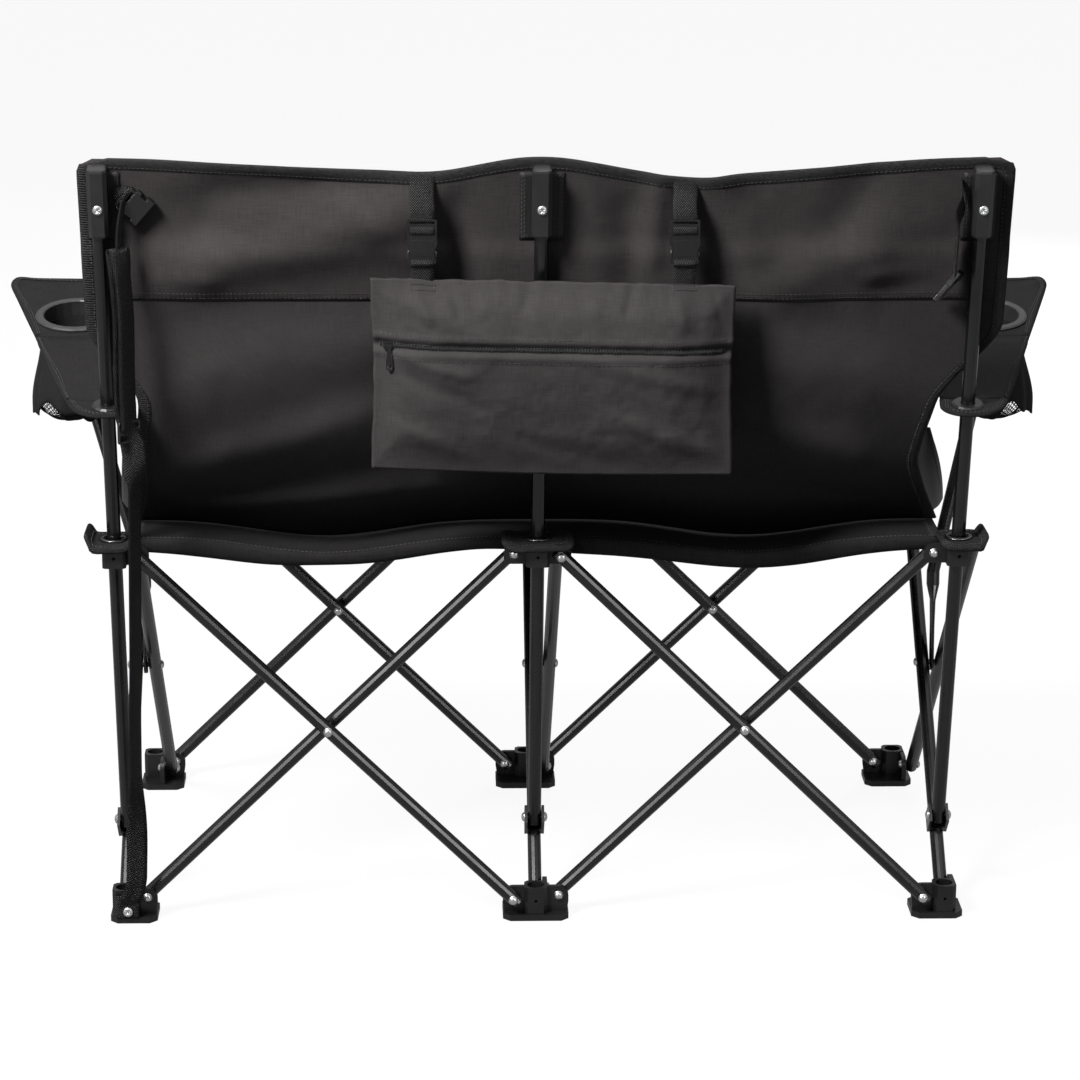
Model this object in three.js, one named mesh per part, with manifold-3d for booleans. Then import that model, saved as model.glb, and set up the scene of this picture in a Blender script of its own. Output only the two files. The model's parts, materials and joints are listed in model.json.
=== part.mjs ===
import * as THREE from 'three';
import { mergeVertices } from 'three/addons/utils/BufferGeometryUtils.js';
import Module from 'manifold-3d';

const wasm = await Module();
wasm.setup();

// Folding two-seat camping chair. Sizes in mm, +Z up, the sitter faces +Y.

// Frame layout: three columns side by side, two rows front to rear
const BAY = 450;
const FOOT_PIN_Z = 25;
const HUB_PIN_Z = 415;
const PIN_OFFSET = 25;

// Tubes, rivets and clearances
const TUBE_R = 7.5;
const TUBE_WALL = 1.2;
const TUBE_END = 7;
const UPRIGHT_R = 7.5;
const RIVET_R = 3;
const HEAD_R = 5;
const HEAD_T = 2;
const GAP = 0.4;
const EAR_T = 5;
const EAR_R = 11;
const EAR_PLAY = 0.5;

// Feet
const BASE_T = 7;
const BASE_SIDE = 15;
const BASE_CHAMFER = 8;
const SOCKET_HALF = 12.5;
const SOCKET_CHAMFER = 4;
const SOCKET_BORE = 9.5;
const SOCKET_TOP = 37;
const PEG_HOLE_R = 1.8;

// Hubs
const COLLAR_HALF = 12.5;
const COLLAR_CHAMFER = 3;
const COLLAR_H = 22;
const SLOT_HALF = 14.6;
const SLOT_WALL = 3;

// Uprights, their brackets and caps
const BRACKET_AT = 74;
const BRACKET_RISE = 23;
const BRACKET_WALL = 3;
const BRACKET_LENGTH = 22;
const CAP_TOP_Z = 845;
const CAP_WIDTH = 20.5;
const CAP_DEPTH = 23;
const CAP_CORNER = 4;
const CAP_BEVEL = 3;
const CAP_LENGTH = 74;
const CAP_ROOF = 14;

// Fabric
const CLOTH_T = 2;
const BACK_TOP_Z = 852;
const BACK_DIP = 14;
const BACK_DIP_X = 140;
const BACK_HALF = 482;
const BACK_WAIST = 405;
const BACK_TUCK_LIFT = 7;
const BACK_HEM_Y = 85;
const BACK_CURVE_Z = 600;
const BACK_BOW = 7;
const SEAT_Z = 427.9;
const SEAT_HEM_DIP = 17;
const SEAT_INSET = 16;
const SEAT_SAG = 34;
const SEAT_REAR_Y = 13;
const SEAT_FRONT_Y = 464;
const SEAT_RIDGE = 0.05;

// Arms and cup holders
const ARM_Z = 585;
const ARM_LENGTH = 345;
const ARM_REAR = 27;
const ARM_REAR_HALF = 36;
const ARM_FRONT_IN = 5;
const ARM_FRONT_OUT = 136;
const EYELET_R = 17;
const RING_X = 53;
const RING_Y = 238;
const RING_R = 46;
const RING_BORE = 36.5;
const RING_WALL = 2;
const RING_DROP = 15;
const RING_T = 3;
const SLEEVE_LENGTH = 108;
const SLEEVE_FOOT_R = 33;
const STRUT_X = 78;
const STRUT_Y = 312;
const STRUT_FLAT = 72;
const STRUT_BEND = 105;
const STRUT_FLAT_HALF = 10;

// Carry bag, straps and buckles
const BAG_X = 12;
const BAG_HALF = 187;
const BAG_HEIGHT = 196;
const BAG_T = 20;
const BAG_SEAM_T = 5;
const BAG_EDGE = 15;
const ZIP_DROP = 68;
const ZIP_START = 170;
const STRAP_W = 25;
const STRAP_SEAM = 4;
const STRAP_LENGTH = 97;
const STRAP_T = 2;
const STRAP_X = 134;
const BUCKLE_W = 33;
const BUCKLE_H = 46;
const BUCKLE_T = 9;
const CARRY_TOP_Z = 765;
const CARRY_LOW_Z = 14;
const CARRY_BEHIND = 17;
const CARRY_BESIDE = 22;
const CARRY_TWIST = 1.05;
const HALF_BUCKLE_X = 36;
const HALF_BUCKLE_DROP = 42;
const SOCKET_L = 29;
const SOCKET_TURN = 2.27;
const PLUG_T = 7;
const PLUG_BASE = 12;
const PLUG_PRONG = 25;
const PLUG_TURN = 0.66;
const SHORT_BESIDE = 21;
const SHORT_DROP = 23;
const SHORT_LENGTH = 94;
const SHORT_TURN = 1.15;
const SHORT_HANG = 0.6;

// Values that follow from the sizes above
const RUN = BAY - 2 * PIN_OFFSET;
const RISE = HUB_PIN_Z - FOOT_PIN_Z;
const REACH = Math.hypot(RUN, RISE);
const ANGLE = Math.atan2(RISE, RUN);
const PLANE = EAR_T / 2 + TUBE_R + EAR_PLAY;
const RIVET_HOLE = RIVET_R + GAP;
const FOOT_Y = PIN_OFFSET + BRACKET_AT * Math.cos(ANGLE) - BRACKET_RISE * Math.sin(ANGLE);
const FOOT_Z = FOOT_PIN_Z + BRACKET_AT * Math.sin(ANGLE) + BRACKET_RISE * Math.cos(ANGLE);
const LEAN = Math.atan2(FOOT_Y, HUB_PIN_Z - FOOT_Z);
const SEAT_HALF = BAY - SEAT_INSET;
const STRAP_TOP_Z = BACK_TOP_Z - BACK_DIP - STRAP_SEAM;
const BAG_TOP_Z = STRAP_TOP_Z - STRAP_LENGTH;
const HALF_BUCKLE_Z = CAP_TOP_Z - HALF_BUCKLE_DROP;
const SHORT_TOP_Z = CAP_TOP_Z - SHORT_DROP;
const uprightY = (z) => -(z - HUB_PIN_Z) * Math.tan(LEAN);
const COLUMNS = [['left', -BAY], ['centre', 0], ['right', BAY]];
const ROWS = [['rear', 0, 1], ['front', BAY, -1]];

// Finishes
const FINISH = {
  steel: [0x1d1d1f, 0.38, 0.35],
  plastic: [0x1b1b1c, 0.5, 0.0],
  cap: [0x37383a, 0.45, 0.0],
  ring: [0x45474a, 0.5, 0.0],
  cloth: [0x2b2928, 0.9, 0.0],
  panel: [0x262726, 0.75, 0.0],
  bag: [0x3a3938, 0.9, 0.0],
  webbing: [0x191817, 0.85, 0.0],
};

const part = new THREE.Group();
part.name = 'folding_camping_loveseat';

function addMesh(name, geometry, finish) {
  const [color, roughness, metalness] = FINISH[finish];
  const material = new THREE.MeshStandardMaterial({ color, roughness, metalness });
  const mesh = new THREE.Mesh(geometry, material);
  mesh.name = name;
  part.add(mesh);
  return mesh;
}

// Solids are joined and cut as closed bodies
function toSolid(geometry) {
  const bare = new THREE.BufferGeometry();
  const loose = geometry.index ? geometry.toNonIndexed() : geometry;
  bare.setAttribute('position', loose.getAttribute('position'));
  const welded = mergeVertices(bare, 1e-3);
  const vertProperties = new Float32Array(welded.getAttribute('position').array);
  const triVerts = new Uint32Array(welded.index.array);
  return new wasm.Manifold(new wasm.Mesh({ numProp: 3, vertProperties, triVerts }));
}

function toGeometry(solid) {
  const { vertProperties, triVerts } = solid.getMesh();
  const geometry = new THREE.BufferGeometry();
  geometry.setAttribute('position', new THREE.BufferAttribute(vertProperties, 3));
  geometry.setIndex(new THREE.BufferAttribute(triVerts, 1));
  return geometry;
}

function joined(pieces, cuts = []) {
  const whole = pieces.map(toSolid).reduce((a, b) => a.add(b));
  return toGeometry(cuts.map(toSolid).reduce((a, b) => a.subtract(b), whole));
}

// A round bar along X, Y or Z between two stations
function bar(axis, radius, from, to, at, sides = 12) {
  const rod = new THREE.CylinderGeometry(radius, radius, to - from, sides);
  rod.translate(0, (from + to) / 2, 0);
  if (axis === 'x') rod.rotateZ(-Math.PI / 2);
  if (axis === 'z') rod.rotateX(Math.PI / 2);
  return rod.translate(...at);
}

// A turned body about Z from [radius, height] pairs
function turned(pairs, sides) {
  const points = pairs.map(([r, h]) => new THREE.Vector2(r, h));
  return new THREE.LatheGeometry(points, sides).rotateX(Math.PI / 2);
}

// An open tube about Z
function pipe(radius, from, to) {
  const inner = radius - TUBE_WALL;
  return turned([[inner, from], [radius, from], [radius, to], [inner, to], [inner, from]], 14);
}

function outline(points) {
  return new THREE.Shape(points.map(([x, y]) => new THREE.Vector2(x, y)));
}

// A rectangle with its four corners cut off
function cutSquare(halfX, halfY, cut) {
  return outline([
    [halfX - cut, -halfY], [halfX, -halfY + cut], [halfX, halfY - cut], [halfX - cut, halfY],
    [-halfX + cut, halfY], [-halfX, halfY - cut], [-halfX, -halfY + cut], [-halfX + cut, -halfY],
  ]);
}

function roundHole(x, y, radius) {
  return new THREE.Path().absarc(x, y, radius, 0, 2 * Math.PI, true);
}

// A flat plate: its outline is drawn in XY and it stands on z = 0
function plate(shape, thickness, curveSegments = 4) {
  return new THREE.ExtrudeGeometry(shape, {
    depth: thickness, bevelEnabled: false, curveSegments, steps: 1,
  });
}

function box(width, depth, height, at) {
  return new THREE.BoxGeometry(width, depth, height).translate(...at);
}

// A thin sheet: a box whose grid is bent over spot(u, v), u and v from 0 to 1.
// lift(v) is the way from its middle to its outer face
function sheet(columns, rows, thickness, spot, lift) {
  const geometry = new THREE.BoxGeometry(1, 1, 1, columns, rows, 1);
  const places = geometry.getAttribute('position');
  for (let i = 0; i < places.count; i += 1) {
    const v = places.getY(i) + 0.5;
    const place = spot(places.getX(i) + 0.5, v);
    place.addScaledVector(lift(v), thickness * places.getZ(i));
    places.setXYZ(i, place.x, place.y, place.z);
  }
  return geometry;
}

// An ear stands out from the column towards +X, with the rivet hole at the pin
function ear(root, low) {
  const shape = outline([[root, low], [PIN_OFFSET + EAR_R * 0.8, low]]);
  shape.lineTo(PIN_OFFSET + EAR_R, Math.max(low, -EAR_R * 0.6));
  shape.absarc(PIN_OFFSET, 0, EAR_R, 0, Math.PI / 2, false);
  shape.lineTo(root, EAR_R);
  shape.holes.push(roundHole(PIN_OFFSET, 0, RIVET_HOLE));
  return plate(shape, EAR_T).translate(0, 0, -EAR_T / 2).rotateX(Math.PI / 2);
}

// The ears of one foot or hub: towards the bays, and forward or back in the side plane
function ears(bays, along, root, low) {
  const list = bays.map((side) => ear(root, low).rotateZ(side > 0 ? 0 : Math.PI));
  list.push(ear(root, low).rotateZ(along * Math.PI / 2).translate(PLANE, 0, 0));
  return list;
}

// A small peg hole in the outer wall of a foot or hub
function pegHole(along, half) {
  const [from, to] = along > 0 ? [-half - 1, 0] : [0, half + 1];
  return bar('y', PEG_HOLE_R, from, to, [0, 0, 0], 8);
}

const baysOf = (side) => (side === 'left' ? [1] : side === 'right' ? [-1] : [-1, 1]);

// Feet: a base plate, a square block with an open round bore, and the ears
function footGeometry(bays, along) {
  const far = PIN_OFFSET + EAR_R;
  const left = bays.includes(-1) ? -far : -BASE_SIDE;
  const right = bays.includes(1) ? far : BASE_SIDE + PLANE / 2;
  const [back, front] = along > 0 ? [-BASE_SIDE, far] : [-far, BASE_SIDE];
  const c = BASE_CHAMFER;
  const base = plate(outline([
    [left + c, back], [right - c, back], [right, back + c], [right, front - c],
    [right - c, front], [left + c, front], [left, front - c], [left, back + c],
  ]), BASE_T);
  const socket = plate(cutSquare(SOCKET_HALF, SOCKET_HALF, SOCKET_CHAMFER), SOCKET_TOP);
  const pieces = ears(bays, along, 0, BASE_T / 2 - FOOT_PIN_Z);
  pieces.forEach((piece) => piece.translate(0, 0, FOOT_PIN_Z));
  const bore = bar('z', SOCKET_BORE, BASE_T, SOCKET_TOP + 1, [0, 0, 0], 14);
  const peg = pegHole(along, SOCKET_HALF).translate(0, 0, (BASE_T + SOCKET_TOP) / 2);
  return joined([base, socket, ...pieces], [bore, peg]);
}

// Hubs: an eight-sided collar and the ears. Rear collars have a slot in which the upright slides
function hubGeometry(bays, along) {
  const long = along > 0 ? SLOT_HALF + SLOT_WALL : COLLAR_HALF;
  const collar = plate(cutSquare(COLLAR_HALF, long, COLLAR_CHAMFER), COLLAR_H);
  collar.translate(0, 0, -COLLAR_H / 2);
  const width = UPRIGHT_R + GAP;
  const reach = along > 0 ? SLOT_HALF - width : 0;
  const slot = new THREE.Shape();
  slot.absarc(0, reach, width, 0, Math.PI, false);
  slot.absarc(0, -reach, width, Math.PI, 2 * Math.PI, false);
  const opening = plate(slot, COLLAR_H + 2, 5).translate(0, 0, -COLLAR_H / 2 - 1);
  return joined([collar, ...ears(bays, along, 0, -EAR_R)], [opening, pegHole(along, long)]);
}

for (const [row, y, along] of ROWS) {
  for (const [side, x] of COLUMNS) {
    const foot = addMesh(`foot_${row}_${side}`, footGeometry(baysOf(side), along), 'plastic');
    foot.position.set(x, y, 0);
    const hub = addMesh(`hub_${row}_${side}`, hubGeometry(baysOf(side), along), 'plastic');
    hub.position.set(x, y, HUB_PIN_Z);
  }
}

// A rivet along X, held in the tube's wall, runs through what it holds to its tail
function rivet(at, tail) {
  return bar('x', RIVET_R, 0, tail, [0, 0, at], 8);
}

// A cross tube: Z runs from its lower pin to its upper pin, X points to its ears.
// One tube of a pair carries the crossing rivet and spacer, the other the hole for it.
function crossTube(carries, spacer) {
  const body = pipe(TUBE_R, -TUBE_END, REACH + TUBE_END);
  const tail = TUBE_R + 2 * EAR_PLAY + EAR_T + HEAD_T;
  const pieces = [body, rivet(0, tail), rivet(REACH, tail)];
  const middle = REACH / 2;
  if (!carries) {
    return joined(pieces, [bar('x', RIVET_HOLE, 0, 2 * TUBE_R, [0, 0, middle], 8)]);
  }
  pieces.push(rivet(middle, 2 * PLANE - TUBE_WALL));
  if (spacer) pieces.push(bar('x', HEAD_R, 0, 2 * PLANE - TUBE_R - GAP, [0, 0, middle], 10));
  return joined(pieces);
}

// Places a tube by its lower pin, its direction and the way its rivets point
function placeTube(name, low, high, rivetWay, carries, spacer) {
  const tube = addMesh(name, crossTube(carries, spacer), 'steel');
  const z = high.clone().sub(low).normalize();
  const x = rivetWay.clone();
  const y = z.clone().cross(x);
  tube.quaternion.setFromRotationMatrix(new THREE.Matrix4().makeBasis(x, y, z));
  tube.position.copy(low);
  return tube;
}

const point = (x, y, z) => new THREE.Vector3(x, y, z);

// Bay crosses: the near tube falls to the right behind the ears, the far tube rises in front
for (const [row, y] of ROWS) {
  for (const [bay, x] of [['left', -BAY], ['right', 0]]) {
    const near = y - PLANE;
    const far = y + PLANE;
    const l = x + PIN_OFFSET;
    const r = x + BAY - PIN_OFFSET;
    placeTube(`bay_tube_${row}_${bay}_near`, point(r, near, FOOT_PIN_Z),
      point(l, near, HUB_PIN_Z), point(0, 1, 0), true, true);
    placeTube(`bay_tube_${row}_${bay}_far`, point(l, far, FOOT_PIN_Z),
      point(r, far, HUB_PIN_Z), point(0, -1, 0), false, false);
  }
}

// Side crosses: the rising tube runs from rear foot to front hub, the falling one beside it.
// Outside, the foot of the arm strut is the spacer between them.
const REAR_PIN_Y = PIN_OFFSET;
const FRONT_PIN_Y = BAY - PIN_OFFSET;
for (const [side, x] of COLUMNS) {
  placeTube(`side_tube_${side}_rising`, point(x, REAR_PIN_Y, FOOT_PIN_Z),
    point(x, FRONT_PIN_Y, HUB_PIN_Z), point(1, 0, 0), true, side === 'centre');
  placeTube(`side_tube_${side}_falling`, point(x + 2 * PLANE, FRONT_PIN_Y, FOOT_PIN_Z),
    point(x + 2 * PLANE, REAR_PIN_Y, HUB_PIN_Z), point(-1, 0, 0), false, false);
}

// Bracket: a saddle on the rising tube with two cheeks and a pin for the upright
function bracketGeometry() {
  const inner = UPRIGHT_R + GAP;
  const outer = inner + BRACKET_WALL;
  const floor = TUBE_R + GAP + BRACKET_WALL;
  const top = BRACKET_RISE + HEAD_R + 2;
  const seat = -TUBE_R * 0.3;
  const block = box(2 * outer, top + seat, BRACKET_LENGTH, [0, (-top + seat) / 2, 0]);
  const space = box(2 * inner, top, BRACKET_LENGTH + 2, [0, -floor - top / 2, 0]);
  const saddle = bar('z', TUBE_R + GAP, -BRACKET_LENGTH, BRACKET_LENGTH, [0, 0, 0], 16);
  const pin = bar('x', RIVET_R, -outer - HEAD_T, outer + HEAD_T, [0, -BRACKET_RISE, 0], 8);
  return joined([joined([block], [space, saddle]), pin]);
}

// Upright: Z runs up from the bracket pin
const CAP_LIFT = (CAP_TOP_Z - FOOT_Z) / Math.cos(LEAN);
const UPRIGHT_TOP = CAP_LIFT - CAP_ROOF - GAP;

function uprightGeometry() {
  const body = pipe(UPRIGHT_R, -TUBE_END, UPRIGHT_TOP);
  return joined([body], [bar('x', RIVET_HOLE, -20, 20, [0, 0, 0], 8)]);
}

// Cap: a closed plastic end, box-shaped with rounded edges
function capGeometry() {
  const section = cutSquare(CAP_WIDTH / 2, CAP_DEPTH / 2, CAP_CORNER);
  const body = new THREE.ExtrudeGeometry(section, {
    depth: CAP_LENGTH - 2 * CAP_BEVEL, bevelThickness: CAP_BEVEL, bevelSize: CAP_BEVEL,
    bevelOffset: -CAP_BEVEL, bevelSegments: 2, steps: 1,
  });
  body.translate(0, 0, CAP_LIFT - CAP_LENGTH + CAP_BEVEL);
  const bore = bar('z', UPRIGHT_R + GAP, 0, CAP_LIFT - CAP_ROOF, [0, 0, 0], 14);
  return joined([body], [bore]);
}

for (const [side, x] of COLUMNS) {
  const bracket = addMesh(`upright_bracket_${side}`, bracketGeometry(), 'steel');
  const along = point(0, Math.cos(ANGLE), Math.sin(ANGLE));
  const way = point(1, 0, 0);
  const turn = new THREE.Matrix4().makeBasis(way, along.clone().cross(way), along);
  bracket.quaternion.setFromRotationMatrix(turn);
  bracket.position.set(x, REAR_PIN_Y, FOOT_PIN_Z).addScaledVector(along, BRACKET_AT);
  for (const [name, geometry, finish] of [
    [`upright_${side}`, uprightGeometry(), 'steel'],
    [`upright_cap_${side}`, capGeometry(), 'cap'],
  ]) {
    const mesh = addMesh(name, geometry, finish);
    mesh.position.set(x, FOOT_Y, FOOT_Z);
    mesh.rotation.x = LEAN;
  }
}

const smooth = (t) => {
  const s = Math.min(1, Math.max(0, t));
  return s * s * (3 - 2 * s);
};

// Seat: it hangs between the hubs, lowest in the middle of each bay
function seatSpot(x, y) {
  const bay = Math.sin((Math.PI * x) / BAY) ** 4;
  const t = (y - SEAT_REAR_Y) / (SEAT_FRONT_Y - SEAT_REAR_Y);
  const sag = Math.sin(Math.PI * t);
  const hollow = SEAT_SAG * sag * (SEAT_RIDGE + (1 - SEAT_RIDGE) * bay);
  const hem = SEAT_HEM_DIP * bay * (1 - sag);
  return point(x, y, SEAT_Z - hollow - hem);
}

// Back: one sheet in front of the uprights. Its sides tuck in behind the arms, and its lower
// part curves forward until its hem lies on the seat
const BACK_TUCK_Z = ARM_Z + BACK_TUCK_LIFT;
const HEM_LIFT = CLOTH_T + 2 * GAP;

function backHalf(z) {
  const flare = smooth((z - BACK_TUCK_Z) / 70);
  const hem = smooth((SEAT_Z + 70 - z) / 70);
  return BACK_WAIST + (BACK_HALF - BACK_WAIST) * flare + (SEAT_HALF - BACK_WAIST) * hem;
}

const backFront = (z) => uprightY(z) + (UPRIGHT_R + GAP) / Math.cos(LEAN) + CLOTH_T;
const CAP_CLEAR = CAP_DEPTH / 2 - UPRIGHT_R;

function backSpot(u, v) {
  const across = 2 * u - 1;
  const pull = Math.exp(-(((Math.abs(across) * BACK_HALF - BACK_DIP_X) / 70) ** 2));
  const top = BACK_TOP_Z - BACK_DIP * pull;
  const hem = seatSpot(across * SEAT_HALF, BACK_HEM_Y).z + HEM_LIFT;
  const z = hem + (top - hem) * v;
  const x = across * backHalf(z);
  const mid = Math.sin((Math.PI * x) / BAY) ** 2;
  const fold = 3 * mid * Math.sin(v * 9 + Math.abs(across) * 7) * smooth(v * 3);
  const cap = CAP_CLEAR * smooth((z - CAP_TOP_Z + CAP_LENGTH + 25) / 25);
  const bow = BACK_BOW * mid * (1 - v * 0.5) * smooth(v * 3);
  const down = Math.max(0, (BACK_CURVE_Z - z) / (BACK_CURVE_Z - hem));
  const curve = (BACK_HEM_Y - backFront(hem)) * down ** 2;
  return point(x, backFront(z) + cap - bow + fold + curve, z);
}

const rearward = () => point(0, -1, 0);
const upward = () => point(0, 0, 1);
addMesh('back_panel', sheet(28, 12, CLOTH_T, backSpot, rearward), 'panel');

// Where a piece sewn to the back's rear face starts, at a given place on it
function behindBack(x, z) {
  const half = backHalf(z);
  const hem = backSpot((x / half + 1) / 2, 0).z;
  const edge = backSpot((x / half + 1) / 2, 1).z;
  const spot = backSpot((x / half + 1) / 2, (z - hem) / (edge - hem));
  return spot.y - CLOTH_T / 2 - 2 * GAP;
}

// The seat's rear and front half meet in a fold across the middle
const SEAT_FOLD_Y = BAY / 2;
for (const [name, from, to] of [
  ['seat_panel_rear', SEAT_REAR_Y, SEAT_FOLD_Y - GAP],
  ['seat_panel_front', SEAT_FOLD_Y + GAP, SEAT_FRONT_Y],
]) {
  const spot = (u, v) => seatSpot((2 * u - 1) * SEAT_HALF, from + (to - from) * v);
  addMesh(name, sheet(20, 5, CLOTH_T, spot, upward), 'cloth');
}

// Arms lie square to the uprights. way is +1 on the right and -1 on the left
function armFrame(mesh, side) {
  mesh.position.set(side * BAY, uprightY(ARM_Z), ARM_Z);
  mesh.rotation.x = LEAN;
  return mesh;
}

function armGeometry(way) {
  const corners = [
    [-ARM_REAR_HALF + 6, -14], [-13, -ARM_REAR], [15, -ARM_REAR], [ARM_REAR_HALF, -12],
    [ARM_FRONT_OUT, ARM_LENGTH - 12], [ARM_FRONT_OUT - 8, ARM_LENGTH + 3],
    [ARM_FRONT_IN + 10, ARM_LENGTH], [ARM_FRONT_IN, ARM_LENGTH - 12],
  ].map(([x, y]) => [x * way, y]);
  if (way < 0) corners.reverse();
  const flap = plate(outline(corners), CLOTH_T).translate(0, 0, -CLOTH_T / 2);
  const eye = bar('z', UPRIGHT_R + 4, -CLOTH_T, CLOTH_T, [0, 0, 0], 16);
  const cup = bar('z', RING_BORE + RING_WALL + GAP, -CLOTH_T, CLOTH_T, [RING_X * way, RING_Y, 0], 24);
  return joined([flap], [eye, cup]);
}

function eyeletGeometry() {
  const lip = CLOTH_T / 2 + GAP;
  const neck = UPRIGHT_R + 4 - GAP;
  const bore = UPRIGHT_R + GAP;
  return turned([
    [bore, -lip - 1.6], [EYELET_R, -lip - 1.6], [EYELET_R, -lip], [neck, -lip], [neck, lip],
    [EYELET_R, lip], [EYELET_R - 2, lip + 1.8], [bore, lip + 1.8], [bore, -lip - 1.6],
  ], 16);
}

function ringGeometry() {
  const lip = CLOTH_T / 2 + GAP;
  const wall = RING_BORE + RING_WALL;
  return turned([
    [RING_BORE, -RING_DROP], [wall, -RING_DROP], [wall, lip], [RING_R, lip],
    [RING_R, lip + RING_T * 0.5], [RING_R - 2, lip + RING_T], [RING_BORE + 1, lip + RING_T],
    [RING_BORE, lip + RING_T - 1], [RING_BORE, -RING_DROP],
  ], 24);
}

// Sleeve: a soft cup that hangs straight down under the ring, with a few hollows in its side
function sleeveGeometry() {
  const r = RING_BORE + RING_WALL + GAP;
  const high = -CLOTH_T / 2 - GAP;
  const low = -SLEEVE_LENGTH;
  const geometry = turned([
    [0, low], [SLEEVE_FOOT_R, low], [SLEEVE_FOOT_R + 3, low * 0.6], [r + CLOTH_T, low * 0.18],
    [r + CLOTH_T, high], [r, high], [r, low * 0.18], [SLEEVE_FOOT_R + 3 - CLOTH_T, low * 0.6],
    [SLEEVE_FOOT_R - CLOTH_T, low + CLOTH_T], [0, low + CLOTH_T],
  ], 24);
  const places = geometry.getAttribute('position');
  for (let i = 0; i < places.count; i += 1) {
    const down = smooth((places.getZ(i) - low * 0.18) / (low - low * 0.18));
    const turn = Math.atan2(places.getY(i), places.getX(i));
    const hollow = 1 + 0.07 * down * Math.sin(3 * turn + 0.6);
    const hang = Math.tan(LEAN) * places.getZ(i);
    places.setX(i, places.getX(i) * hollow);
    places.setY(i, places.getY(i) * hollow + hang * down);
  }
  return geometry;
}

// Arm strut: flattened foot on the side rivet, then a tube that bends outwards to the arm
function strutGeometry(side) {
  const way = Math.sign(side);
  const base = point(side * BAY + PLANE, BAY / 2, (FOOT_PIN_Z + HUB_PIN_Z) / 2);
  const under = -CLOTH_T / 2 - GAP;
  const goal = point(way * STRUT_X, STRUT_Y, under).applyAxisAngle(point(1, 0, 0), LEAN);
  goal.add(point(side * BAY, uprightY(ARM_Z), ARM_Z)).sub(base);
  goal.z -= TUBE_R;
  const slope = goal.y / goal.z;
  const tilt = (goal.x) / (goal.z - STRUT_BEND);
  const stations = [
    [-9, 0.35, 0], [-6, 0.75, 0], [0, 1, 0], [STRUT_FLAT * 0.6, 1, 0], [STRUT_FLAT, 0.9, 0.15],
    [STRUT_FLAT + 18, 0, 1], [STRUT_BEND, 0, 1], [goal.z, 0, 1],
  ];
  const tube = new THREE.CylinderGeometry(TUBE_R, TUBE_R, 1, 16, stations.length - 1);
  tube.rotateX(Math.PI / 2);
  const places = tube.getAttribute('position');
  for (let i = 0; i < places.count; i += 1) {
    const step = Math.round((0.5 - places.getZ(i)) * (stations.length - 1));
    const [z, flat, round] = stations[stations.length - 1 - step];
    const wide = round + (1 - round) * (STRUT_FLAT_HALF / TUBE_R) * (round > 0 ? 1 : flat);
    const thin = round + (1 - round) * (EAR_T / 2 / TUBE_R);
    const out = Math.max(0, z - STRUT_BEND) * tilt;
    places.setXYZ(i, places.getX(i) * thin + out, places.getY(i) * wide + slope * z, z);
  }
  const hole = bar('x', RIVET_HOLE, -20, 20, [0, 0, 0], 10);
  return [joined([tube], [hole]), base];
}

for (const [name, side] of [['left', -1], ['right', 1]]) {
  armFrame(addMesh(`arm_panel_${name}`, armGeometry(side), 'cloth'), side);
  armFrame(addMesh(`arm_eyelet_${name}`, eyeletGeometry(), 'plastic'), side);
  const at = [side * RING_X, RING_Y, 0];
  armFrame(addMesh(`cup_ring_${name}`, ringGeometry().translate(...at), 'ring'), side);
  armFrame(addMesh(`cup_sleeve_${name}`, sleeveGeometry().translate(...at), 'cloth'), side);
  const [strut, base] = strutGeometry(side);
  addMesh(`arm_strut_${name}`, strut, 'steel').position.copy(base);
}

// Carry bag: a soft flat case that hangs behind the centre upright
const BAG_Y = uprightY(BAG_TOP_Z) - (UPRIGHT_R + GAP) / Math.cos(LEAN) - BAG_T / 2 - 1;
const ZIP_Z = BAG_TOP_Z - ZIP_DROP;
const bagHalfT = (u, v) => {
  const side = (2 * BAG_HALF * Math.min(u, 1 - u)) / BAG_EDGE;
  const edge = Math.min(smooth(side), smooth(v * 4), smooth((1 - v) * 4));
  return (BAG_SEAM_T + (BAG_T - BAG_SEAM_T) * edge) / 2;
};

function bagGeometry() {
  const geometry = new THREE.BoxGeometry(1, 1, 1, 25, 8, 1);
  const places = geometry.getAttribute('position');
  for (let i = 0; i < places.count; i += 1) {
    const u = places.getX(i) + 0.5;
    const v = places.getY(i) + 0.5;
    const pinch = 1 - 0.02 * Math.sin(Math.PI * v);
    const sag = 3 * Math.sin(Math.PI * u) * (1 - v);
    const x = BAG_X + (2 * u - 1) * BAG_HALF * pinch;
    const z = BAG_TOP_Z - BAG_HEIGHT * (1 - v) - sag;
    places.setXYZ(i, x, BAG_Y - 2 * bagHalfT(u, v) * places.getZ(i), z);
  }
  return geometry;
}

addMesh('bag_body', bagGeometry(), 'bag');
const slider = box(8, 4, 14, [0, -2, 0]);
const puller = box(5, 2, 24, [0, -5, -14]);
const bridge = box(4, 5, 4, [0, -4, -3]);
const zip = addMesh('bag_zip_slider', joined([slider, puller, bridge]), 'plastic');
zip.position.set(BAG_X - ZIP_START, BAG_Y - BAG_T / 2 - GAP, ZIP_Z);

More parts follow.
